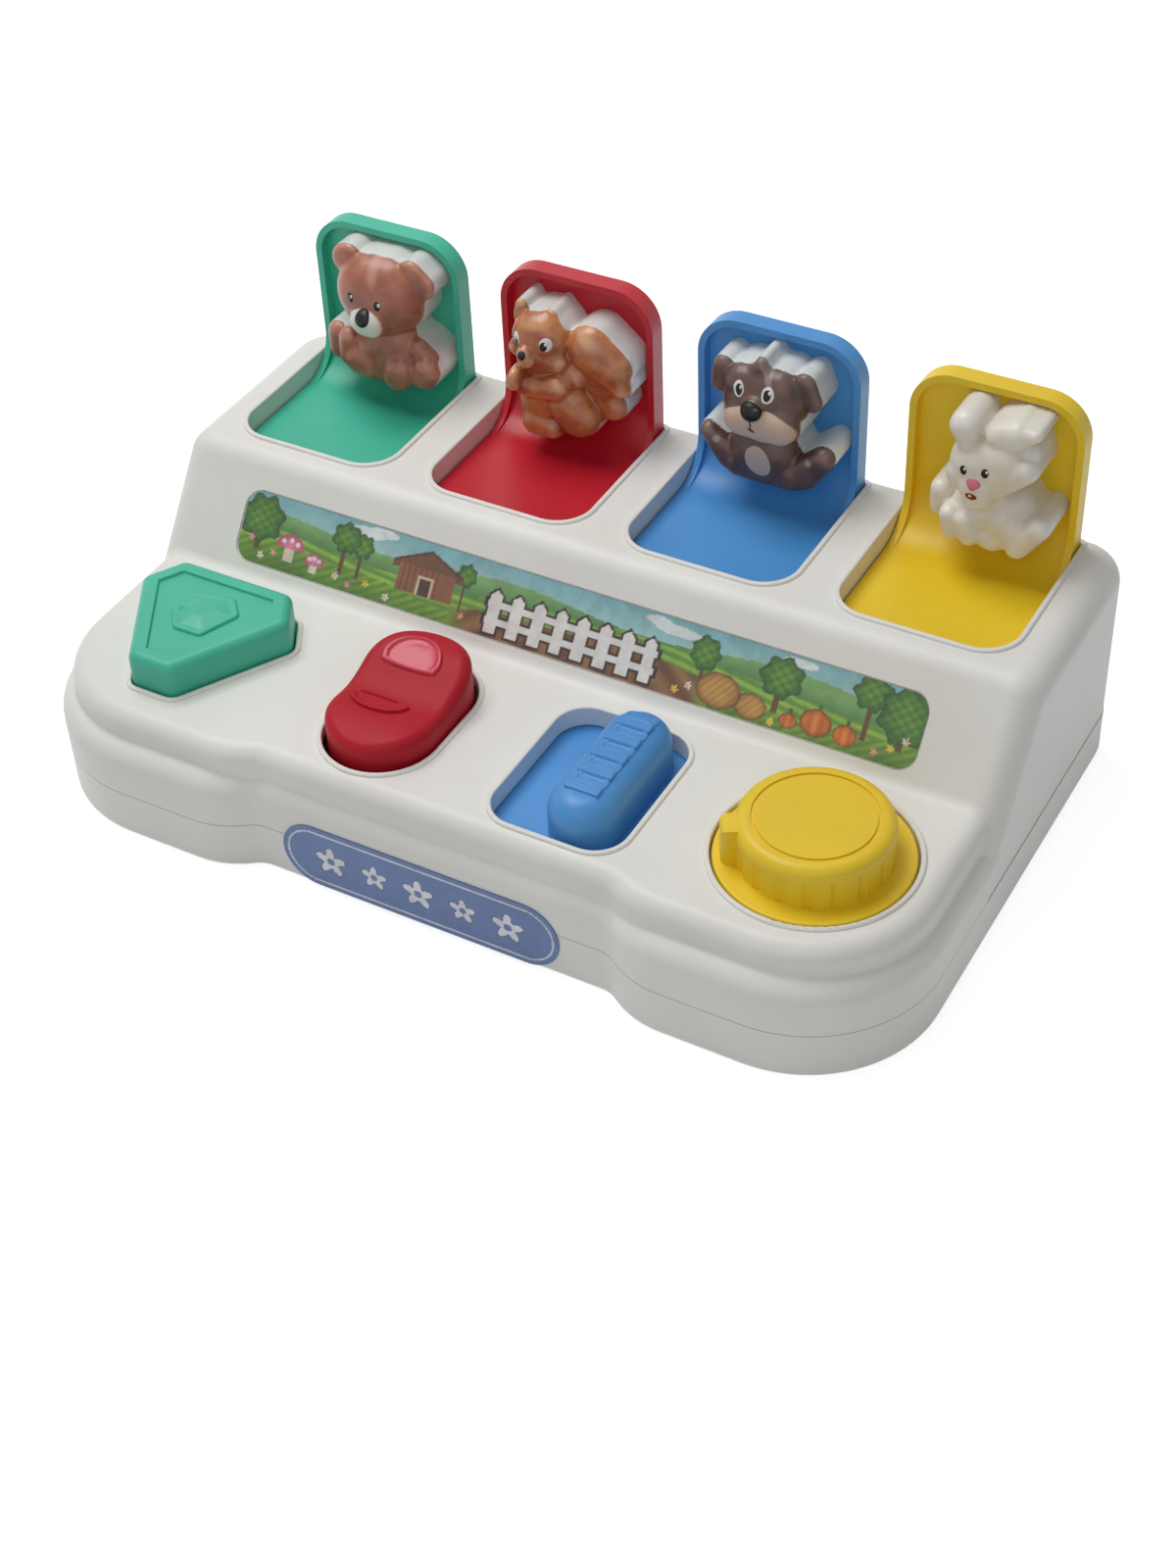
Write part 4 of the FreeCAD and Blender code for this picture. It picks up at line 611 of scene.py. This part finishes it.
def limb(bm, origin, row):
    """A bar or disc with a domed front and a flat back, made from a sphere whose pole faces the front."""
    across0, up0, radius0, across1, up1, radius1, front, dome = row
    verts = bmesh.ops.create_uvsphere(bm, u_segments=SPHERE_SEGMENTS, v_segments=SPHERE_RINGS,
                                      radius=1.0)["verts"]
    bmesh.ops.rotate(bm, verts=verts, matrix=Matrix.Rotation(math.radians(90), 3, "X"))
    along = Vector((across1 - across0, 0, up1 - up0))
    length = along.length
    along = along.normalized() if length else Vector((1, 0, 0))
    for vert in verts:
        flat = Vector((vert.co.x, 0, vert.co.z))
        size = min(flat.length, 1.0)
        side = flat.normalized() if size > 1e-4 else Vector((0, 0, 0))
        share = 0.5 + 0.5 * max(-1.0, min(1.0, END_SHARPNESS * flat.dot(along)))
        radius = radius0 + (radius1 - radius0) * share
        place = side * radius * size ** FULLNESS + along * length * share
        height = max(-vert.co.y, 0.0) ** FULLNESS
        out = front - dome + dome * height if vert.co.y < 1e-4 else -SUNK_BACK
        vert.co = lid_point(origin, across0 + place.x, up0 + place.z, out)


def smooth(bm, times):
    for _ in range(times):
        bmesh.ops.smooth_vert(bm, verts=bm.verts, factor=0.5, use_axis_x=True, use_axis_y=True,
                              use_axis_z=True)


def one_skin(bm, name):
    """The limbs joined into one skin, with soft creases where they meet."""
    mesh = bpy.data.meshes.new(name)
    bm.to_mesh(mesh)
    bm.free()
    rough = bpy.data.objects.new(name + "_limbs", mesh)
    bpy.context.scene.collection.objects.link(rough)
    remesh = rough.modifiers.new("skin", "REMESH")
    remesh.mode = "VOXEL"
    remesh.voxel_size = VOXEL * MM
    graph = bpy.context.evaluated_depsgraph_get()
    skin = bmesh.new()
    skin.from_mesh(rough.evaluated_get(graph).to_mesh())
    bpy.data.objects.remove(rough)
    smooth(skin, SMOOTHING)
    return skin


def mark_front_and_hollows(bm):
    """For each point of a skin, how far it faces the front, and how far it lies in a crease (above 0) or on a
    high spot (below 0), which the finish turns into painted shade and painted highlight.
    """
    front = bm.verts.layers.float.new("front")
    hollow = bm.verts.layers.float.new("hollow")
    bm.normal_update()
    kept = [vert.co.copy() for vert in bm.verts]
    smooth(bm, HOLLOW_SMOOTHING)
    for vert, place in zip(bm.verts, kept):
        vert[front] = -vert.normal.y
        vert[hollow] = (vert.co - place).dot(vert.normal) / MM
        vert.co = place


def spot(bm, surface, origin, row):
    """An oval of paint, or of painted highlight, on the figure's surface: its rim is sunk and its middle
    stands out a little.
    """
    _, across, up, half_across, half_up, tilt, lift = row
    piece = bmesh.new()
    bmesh.ops.create_circle(piece, cap_ends=True, segments=SPOT_SEGMENTS, radius=1.0)
    for share in SPOT_RINGS:
        middle = max(piece.faces, key=lambda face: len(face.verts))
        span = max(vert.co.xy.length for vert in middle.verts)
        bmesh.ops.inset_individual(piece, faces=[middle], thickness=span - share, use_even_offset=False)
    turn = math.radians(tilt)
    for vert in piece.verts:
        x, z = vert.co.x * half_across, vert.co.y * half_up
        thick = 1 - vert.co.xy.length_squared
        x, z = x * math.cos(turn) - z * math.sin(turn), x * math.sin(turn) + z * math.cos(turn)
        start = lid_point(origin, across + x, up + z, FRONT_OF_ALL)
        place, normal, _, _ = surface.ray_cast(start, Vector((0, 1, 0)))
        rise = SPOT_COAT + lift * thick ** SPOT_DOME if thick > SPOT_RIM_SHARE else -SPOT_RIM_SUNK
        vert.co = place + normal * rise * MM
    bmesh.ops.recalc_face_normals(piece, faces=piece.faces)
    loose = bpy.data.meshes.new("spot")
    piece.to_mesh(loose)
    piece.free()
    bm.from_mesh(loose)
    bpy.data.meshes.remove(loose)


def figure(colour, animal):
    """One animal on its lid: a moulded skin, and a piece for each paint of its face and for its painted
    highlights.
    """
    origin = mm(middle_x(lid_boxes[colour]), LID_WALL_Y, PLATE_TOP_Z)
    rough = bmesh.new()
    for row in LIMBS[animal]:
        limb(rough, origin, row)
    skin = one_skin(rough, animal)
    mark_front_and_hollows(skin)
    surface = BVHTree.FromBMesh(skin)
    smooth_faces(skin)
    obj = new_object(animal + "_moulding", skin, FINISHES[animal + "_figure"])
    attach(obj, colour + "_lid")
    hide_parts(animal + "_figure")
    for paint in dict.fromkeys(row[0] for row in SPOTS[animal]):
        bm = bmesh.new()
        for row in SPOTS[animal]:
            if row[0] == paint:
                spot(bm, surface, origin, row)
        smooth_faces(bm)
        piece = new_object(animal + "_" + paint + "_spots", bm, SPOT_PAINTS_AND_HIGHLIGHTS[paint])
        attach(piece, colour + "_lid")


# ---------------------------------------------------------------- pads moulded on the controls
# a height in metres that is above every control
ABOVE_ALL = 0.2
# each row is an arc: middle from the rocker's middle, and y, half size, first and last angle, and points
HALF_MOON = [(-1.6, -32.4, 9.0, 9.2, 172, 8, 17), (-1.6, -33.0, 8.8, 1.2, -20, -160, 9)]
CRESCENT = [(-3.0, -44.0, 9.4, 6.2, 188, 352, 17), (-3.0, -44.4, 8.8, 0.7, 20, 160, 9)]
# six corners from the middle of the button's pad
HEXAGON = [(-8.2, -2.6), (-7.6, 6.6), (5.2, 9.3), (10.6, 3.2), (5.8, -9.0), (-3.2, -9.2)]
HEXAGON_Y = -38.0
# the ribs' middle from the slider's right and rear ends
RIBS_FROM_RIGHT, RIBS_FROM_REAR = 28.75, 25.05
RIB_COUNT, RIB_PITCH, RIB_HALF_LENGTH, RIB_HALF_WIDTH = 5, 6.8, 5.0, 1.9
PAD_CORNER, PAD_CORNER_POINTS = 1.3, 4
# each pad's rim as a share of its half width, its rise, and the share of the rise that its field lies lower
HALF_MOON_RELIEF = (0.16, 1.0, 0.75)
CRESCENT_RELIEF = (0.22, 0.9, 0.6)
HEXAGON_RELIEF = (0.16, 0.9, 0.15)
RIB_RELIEF = (0.24, 0.4, 0.9)


def plan_surface(node):
    bm = bmesh.new()
    bm.from_mesh(frame["nodes"][node].data)
    surface = BVHTree.FromBMesh(bm)
    bm.free()
    return surface


def pad(bm, surface, outline, rim, rise, hollow):
    """A low boss on the surface under it: a rounded rim, and inside it a field that may lie lower."""
    middle = Vector((sum(x for x, _ in outline), sum(y for _, y in outline))) / len(outline)
    inner = 1 - rim
    field = inner - 0.10
    # each step inwards: the share of the outline and the share of the rise
    levels = [(1.0, -0.4 / rise), (0.985, 0.5), (0.955, 0.92), (0.92, 1.0), (inner, 1.0),
              (inner - 0.05, 1 - 0.6 * hollow), (field, 1 - hollow), (field * 0.6, 1 - hollow),
              (field * 0.25, 1 - hollow)]
    top = bm.faces.new([bm.verts.new((x, y, 0)) for x, y in outline])
    for step, (share, level) in enumerate(levels):
        if step:
            top = bmesh.ops.extrude_discrete_faces(bm, faces=[top])["faces"][0]
        for vert, point in zip(top.verts, outline):
            flat = middle + (Vector(point) - middle) * share
            place = surface.ray_cast(Vector((flat.x * MM, flat.y * MM, ABOVE_ALL)), Vector((0, 0, -1)))[0]
            vert.co = place + mm(0, 0, rise * level)
    bmesh.ops.recalc_face_normals(bm, faces=bm.faces)


def moulded_pads(name, node, outlines, relief, material):
    bm = bmesh.new()
    surface = plan_surface(node)
    for outline in outlines:
        pad(bm, surface, outline, *relief)
    if sum(face.normal.z for face in bm.faces) < 0:
        bmesh.ops.reverse_faces(bm, faces=bm.faces)
    obj = new_object(name, bm, FINISHES[material])
    soft_shading(obj, PAD_CORNER_DEGREES)
    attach(obj, body_of[node])


def arc(x, y, half_x, half_y, start, end, count):
    steps = [math.radians(start + (end - start) * k / (count - 1)) for k in range(count)]
    return [(x + half_x * math.cos(a), y + half_y * math.sin(a)) for a in steps]


def arcs(x, rows):
    """A closed outline of several arcs, whose middles are set off from x."""
    return [point for offset, *rest in rows for point in arc(x + offset, *rest)]


def rounded(points):
    """A closed outline with its corners rounded."""
    outline = []
    for before, corner, after in zip(points[-1:] + points[:-1], points, points[1:] + points[:1]):
        corner = Vector(corner)
        first = corner + (Vector(before) - corner).normalized() * PAD_CORNER
        last = corner + (Vector(after) - corner).normalized() * PAD_CORNER
        for k in range(PAD_CORNER_POINTS):
            t = k / (PAD_CORNER_POINTS - 1)
            outline.append(tuple(first * (1 - t) ** 2 + corner * 2 * t * (1 - t) + last * t * t))
    return outline


def control_pads():
    """The rocker's half moon and crescent, the button's six-cornered pad and the slider's ribs."""
    x = middle_x(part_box("rocker_switch"))
    moulded_pads("rocker_half_moon", "rocker_switch", [arcs(x, HALF_MOON)], HALF_MOON_RELIEF, "pad_red")
    moulded_pads("rocker_crescent", "rocker_switch", [arcs(x, CRESCENT)], CRESCENT_RELIEF, "rocker_red")
    x = middle_x(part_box("push_button"))
    hexagon = rounded([(x + dx, HEXAGON_Y + dy) for dx, dy in HEXAGON])
    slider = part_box("slide_switch")
    x, y = slider[1][0] / MM - RIBS_FROM_RIGHT, slider[1][1] / MM - RIBS_FROM_REAR
    left, right = x - RIB_HALF_LENGTH, x + RIB_HALF_LENGTH
    ribs = []
    for k in range(RIB_COUNT):
        middle = y + (k - RIB_COUNT // 2) * RIB_PITCH
        front, rear = middle - RIB_HALF_WIDTH, middle + RIB_HALF_WIDTH
        ribs.append(rounded([(left, front), (right, front), (right, rear), (left, rear)]))
    moulded_pads("slider_ribs", "slide_switch", ribs, RIB_RELIEF, "blue_plastic")
    moulded_pads("button_hexagon", "push_button", [hexagon], HEXAGON_RELIEF, "green_plastic")


# ---------------------------------------------------------------- printed pieces
FACE_SLOPE = 53.0
FILM_LIFT, FILM_EDGE, FILM_WELD = 0.04, 0.3, 0.01
# length and height of each print, the step of its grid and the radius of its corners
BANNER = ((208.0, 20.0), 0.36, 5.0)
BADGE = ((84.0, 20.6), 0.32, 10.2)


def ink_grid(name, node, origin, across, size, step, corner, paint):
    """A printed film: a fine grid laid on the label, with an ink colour at each point."""
    bm = bmesh.new()
    ink = bm.verts.layers.float_color.new("ink")
    length, height = size
    columns, rows = round(length / step), round(height / step)
    along, across = Vector((1, 0, 0)), Vector(across)
    normal = along.cross(across)
    bmesh.ops.create_grid(bm, x_segments=columns, y_segments=rows, size=0.5)
    for vert in bm.verts:
        u = length * round((vert.co.x + 0.5) * columns) / columns
        v = height * round((vert.co.y + 0.5) * rows) / rows
        # points beyond a rounded corner are drawn in to it
        near_u = min(max(u, corner), length - corner)
        near_v = min(max(v, corner), height - corner)
        gap = math.hypot(u - near_u, v - near_v)
        if gap > corner:
            u = near_u + (u - near_u) * corner / gap
            v = near_v + (v - near_v) * corner / gap
        vert.co = (Vector(origin) + along * u + across * v + normal * FILM_LIFT) * MM
        vert[ink] = srgb(*paint(u, v))
    bmesh.ops.remove_doubles(bm, verts=bm.verts, dist=FILM_WELD * MM)
    rim = [edge for edge in bm.edges if edge.is_boundary]
    made = bmesh.ops.extrude_edge_only(bm, edges=rim)
    low = [item for item in made["geom"] if isinstance(item, bmesh.types.BMVert)]
    bmesh.ops.translate(bm, verts=low, vec=normal * -FILM_EDGE * MM)
    obj = new_object(name, bm, FINISHES[slot_of[node]])
    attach(obj, body_of[node])
    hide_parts(node)


def reach(u, v, middle_u, middle_v, half_u, half_v):
    """Less than 1 inside an oval."""
    return math.hypot((u - middle_u) / half_u, (v - middle_v) / half_v)


def between(first, second, share):
    share = min(max(share, 0.0), 1.0)
    return tuple(a + (b - a) * share for a, b in zip(first, second))


# where things stand on the banner, from its lower left corner: middle and half size
CLOUDS = [(40, 17.6, 6, 1.5), (45, 18.6, 5, 1.3), (137, 16.9, 7, 1.4), (131, 18.2, 4, 1.2),
          (172, 18.4, 5, 1.2)]
TREES = [(6, 13, 7, 6.5), (34, 14.4, 4.6, 4.2), (39.5, 13.4, 3.6, 3.4), (146, 13.6, 4.2, 4.6),
         (168, 13.4, 6, 5.4), (203, 13.2, 7.5, 7.5), (193, 16.4, 5.4, 4.6), (73, 14.2, 3.0, 3.2)]
TOADSTOOLS = [(17, 7.4, 4.6, 3.4), (25.5, 5.0, 3.2, 2.4)]
PUMPKINS = [(180, 4.8, 4.4, 3.6), (188.4, 3.9, 3.4, 2.8), (172.6, 3.2, 2.5, 2.1)]
HAY = [(152, 5.2, 6.4, 4.8), (161.6, 3.8, 4.6, 3.4)]
FLOWERS = [(33, 3.4), (37.5, 1.9), (43, 3.8), (8, 2.6), (12, 4.4), (140, 2.2), (143.5, 4.2), (197, 2.4),
           (201, 4.4), (50, 1.9), (74, 3.2), (168, 1.6), (204.5, 7.2), (4, 7.0)]
PETAL_REACH, FLOWER_HEART = 1.15, 0.42
FENCE_START, FENCE_END, PALE_PITCH, PALE_HALF_WIDTH, PALE_TIP = 80, 134, 6.75, 1.75, 13.2
RAILS, RAIL_HALF_HEIGHT = (4.6, 9.4), 0.85
BARN_MIDDLE, BARN_HALF_LENGTH, BARN_FOOT, BARN_EAVES = 61, 9, 5, 12.6
DOOR_HALF_WIDTH, DOOR_TOP, DOOR_TRIM = 2.4, 10.4, 0.6
PATH_START, PATH_END = 70, 150
# the badge's border and flowers
BADGE_RADIUS, BADGE_FLOWERS, BADGE_FIRST, BADGE_PITCH = 10.3, 5, 15.0, 13.5
INKS = {
    "flower_heart": (226, 176, 60), "pale": (230, 226, 220), "drawn_line": (50, 30, 30),
    "cap_dot": (240, 226, 224), "cap": (226, 134, 158), "cap_rim": (176, 84, 110), "stem": (222, 204, 186),
    "pumpkin": (222, 140, 62), "pumpkin_rib": (196, 104, 44), "pumpkin_rim": (112, 56, 30),
    "stalk": (70, 96, 44), "straw": (206, 164, 92), "straw_shade": (168, 122, 62), "bale_rim": (96, 62, 34),
    "door": (72, 46, 38), "door_trim": (214, 196, 164), "plank_gap": (98, 62, 46), "plank": (140, 92, 66),
    "ridge": (84, 54, 44), "roof": (112, 74, 54), "leaf": (112, 156, 62), "leaf_shade": (66, 112, 48),
    "crown_rim": (40, 78, 40), "trunk": (98, 68, 46), "path_verge": (118, 152, 62), "soil": (150, 110, 74),
    "soil_shade": (104, 70, 46), "grass": (136, 172, 66), "grass_shade": (96, 136, 50),
    "near_grass": (70, 108, 44), "crop": (150, 186, 82), "crop_shade": (92, 138, 58),
    "hill_foot": (86, 134, 80), "hill_top": (126, 168, 104), "cloud": (220, 230, 226),
    "low_sky": (168, 204, 196), "high_sky": (126, 176, 184), "badge_border": (206, 212, 222),
    "badge_heart": (70, 102, 158), "badge_petal": (222, 224, 228), "badge_line": (44, 70, 122),
    "badge_field": (74, 106, 162),
}
PETALS = [(236, 226, 226), (224, 142, 168), (232, 204, 96)]


def inks(first, second, share):
    return between(INKS[first], INKS[second], share)


def near_things(u, v):
    """What stands in front on the banner: flowers, fence, toadstools, pumpkins and hay, or None."""
    for k, (fu, fv) in enumerate(FLOWERS):
        gap = math.hypot(u - fu, v - fv)
        petal = PETAL_REACH * (0.72 + 0.28 * math.cos(5 * math.atan2(v - fv, u - fu)))
        if gap < FLOWER_HEART:
            return INKS["flower_heart"]
        if gap < petal:
            return PETALS[k % len(PETALS)]
    if FENCE_START < u < FENCE_END:
        side = abs((u - FENCE_START) % PALE_PITCH - 3.37)
        tip = PALE_TIP - 0.85 * side
        rail = min(abs(v - height) for height in RAILS)
        on_rail = rail < RAIL_HALF_HEIGHT and FENCE_START + 1 < u < FENCE_END - 1
        if (side < PALE_HALF_WIDTH and 1.2 < v < tip) or on_rail:
            return INKS["pale"]
        if (side < 2.45 and 0.5 < v < tip + 0.85) or rail < 1.5:
            return INKS["drawn_line"]
    for mu, mv, half_u, half_v in TOADSTOOLS:
        cap = reach(u, v, mu, mv, half_u, half_v)
        if cap < 1 and v > mv - 0.8:
            for k in range(3):
                dot_u = mu + (k - 1) * half_u * 0.5
                dot_v = mv + half_v * (0.5 - 0.2 * abs(k - 1))
                if reach(u, v, dot_u, dot_v, 0.75, 0.6) < 1:
                    return INKS["cap_dot"]
            return inks("cap", "cap_rim", cap - 0.1)
        if abs(u - mu) < half_u * 0.36 and mv - half_v * 1.3 < v < mv:
            return INKS["stem"]
    for mu, mv, half_u, half_v in PUMPKINS:
        ball = reach(u, v, mu, mv, half_u, half_v)
        if ball < 1:
            rib = 0.5 + 0.5 * math.cos((u - mu) / half_u * 8.4)
            return between(inks("pumpkin_rib", "pumpkin", rib), INKS["pumpkin_rim"], ball ** 5)
        if abs(u - mu - 0.2) < 0.5 and mv + half_v * 0.8 < v < mv + half_v + 1.4:
            return INKS["stalk"]
    for mu, mv, half_u, half_v in HAY:
        bale = reach(u, v, mu, mv, half_u, half_v)
        if bale < 1:
            straw = 0.5 + 0.5 * math.sin(u * 3.1 + v * 1.7) * math.sin(v * 4.3)
            return between(inks("straw_shade", "straw", straw), INKS["bale_rim"], bale ** 6)
    return None


def barn(u, v):
    """A small plank barn with a dark door and a pale trim, or None."""
    off = abs(u - BARN_MIDDLE)
    if off < BARN_HALF_LENGTH and BARN_FOOT < v < BARN_EAVES:
        if off < DOOR_HALF_WIDTH and v < DOOR_TOP:
            inside = off < DOOR_HALF_WIDTH - DOOR_TRIM and v < DOOR_TOP - DOOR_TRIM
            return INKS["door"] if inside else INKS["door_trim"]
        gap = abs((u * 1.1) % 2.0 - 1.0) < 0.16
        return INKS["plank_gap"] if gap else INKS["plank"]
    slant = off * 0.42
    if off < BARN_HALF_LENGTH + 2 and 12.2 - slant * 0.25 < v < 18.0 - slant:
        return INKS["ridge"] if v > 17.2 - slant else INKS["roof"]
    return None


def trees(u, v):
    """Round crowns on thin trunks, or None."""
    for mu, mv, half_u, half_v in TREES:
        lumps = 1 + 0.10 * math.sin(7 * math.atan2(v - mv, u - mu) + mu)
        crown = reach(u, v, mu, mv, half_u, half_v) / lumps
        if crown < 1:
            light = 0.5 + 0.5 * math.sin(u * 1.9 + mu) * math.sin(v * 2.3)
            return between(inks("leaf_shade", "leaf", light), INKS["crown_rim"], crown ** 3)
        if abs(u - mu) < half_u * 0.13 and 4 < v < mv:
            return INKS["trunk"]
    return None


def banner_ink(u, v):
    """A meadow with rolling crop rows, trees, a barn and a picket fence."""
    thing = near_things(u, v) or barn(u, v) or trees(u, v)
    if thing:
        return thing
    ground = 5.6 + 1.6 * math.sin(u / 17 + 0.6) + 0.7 * math.sin(u / 6.1)
    field = 10.6 + 2.0 * math.sin(u / 23 + 2.4)
    far = 14.4 + 1.5 * math.sin(u / 13 + 1.1)
    if PATH_START < u < PATH_END and v < ground + 1.8:
        furrow = math.sin((u - 110) * 0.9 / (0.35 + 0.065 * (22 - v)))
        edge = min(u - PATH_START, PATH_END - u) / 6
        return between(INKS["path_verge"], inks("soil_shade", "soil", 0.5 + 0.5 * furrow), edge)
    if v < ground:
        blade = 0.5 + 0.5 * math.sin(u * 1.4 - v * 2.6)
        return between(inks("grass_shade", "grass", blade), INKS["near_grass"], (ground - v) / 9)
    if v < field:
        row = math.sin((v - field) * 2.5 + u * 0.16)
        return inks("crop_shade", "crop", 0.5 + 0.5 * row)
    if v < far:
        return inks("hill_foot", "hill_top", (v - field) / 4)
    for mu, mv, half_u, half_v in CLOUDS:
        if reach(u, v, mu, mv, half_u, half_v) < 1:
            return INKS["cloud"]
    return inks("low_sky", "high_sky", (v - 12) / 8)


def badge_ink(u, v):
    """A plain blue field with a fine pale border and a row of five flowers."""
    near_u = min(max(u, BADGE_RADIUS), BADGE[0][0] - BADGE_RADIUS)
    edge = BADGE_RADIUS - math.hypot(u - near_u, v - BADGE_RADIUS)
    if 1.5 < edge < 2.0:
        return INKS["badge_border"]
    for k in range(BADGE_FLOWERS):
        du, dv = u - (BADGE_FIRST + BADGE_PITCH * k), v - BADGE_RADIUS
        gap = math.hypot(du, dv)
        size = 3.9 if k % 2 else 4.7
        petal = size * (0.74 + 0.26 * math.cos(5 * math.atan2(du, dv)))
        if gap < size * 0.26:
            return INKS["badge_heart"]
        if gap < petal:
            return INKS["badge_petal"]
        if gap < petal + 0.55:
            return INKS["badge_line"]
    return INKS["badge_field"]


def prints():
    """The banner lies on the slanted face, and the badge on the upright front."""
    slope = math.radians(FACE_SLOPE)
    low_left = [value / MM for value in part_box("banner_label")[0]]
    low_left[2] += FILM_EDGE * math.cos(slope)
    up_slope = (0, math.cos(slope), math.sin(slope))
    ink_grid("banner_film", "banner_label", low_left, up_slope, *BANNER, banner_ink)
    low_left = [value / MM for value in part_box("front_badge")[0]]
    ink_grid("badge_film", "front_badge", low_left, (0, 0, 1), *BADGE, badge_ink)


# ---------------------------------------------------------------- springs
# a spring, the joint that presses it shorter, and the share of its length that is left then
SPRINGS = [("button_spring", "button_press", 0.86), ("latch_spring_green", "button_press", 0.78),
           ("latch_spring_red", "rocker_tilt", 0.78), ("latch_spring_blue", "slider_slide", 0.78),
           ("latch_spring_yellow", "knob_turn", 0.78)]


def pressed_springs():
    """Smooth-shaded copies of the springs, each given a mesh of its own."""
    for node, joint, share_left in SPRINGS:
        spring = moulded_copy(node)
        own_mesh(spring)


finish_hidden_nodes()
pressed_springs()
moulded_copy("upper_housing")
moulded_copy("base_plate")
for colour in COLOURS:
    moulded_copy("lid_" + colour, 0.5)
for part in ("push_button", "rocker_switch", "slide_switch", "turn_knob"):
    control = moulded_copy(part, 0.3)
    if part == "rocker_switch":
        control.data.materials[0] = FINISHES["rocker_red"]
control_pads()
prints()
for colour, animal in zip(COLOURS, ANIMALS):
    figure(colour, animal)
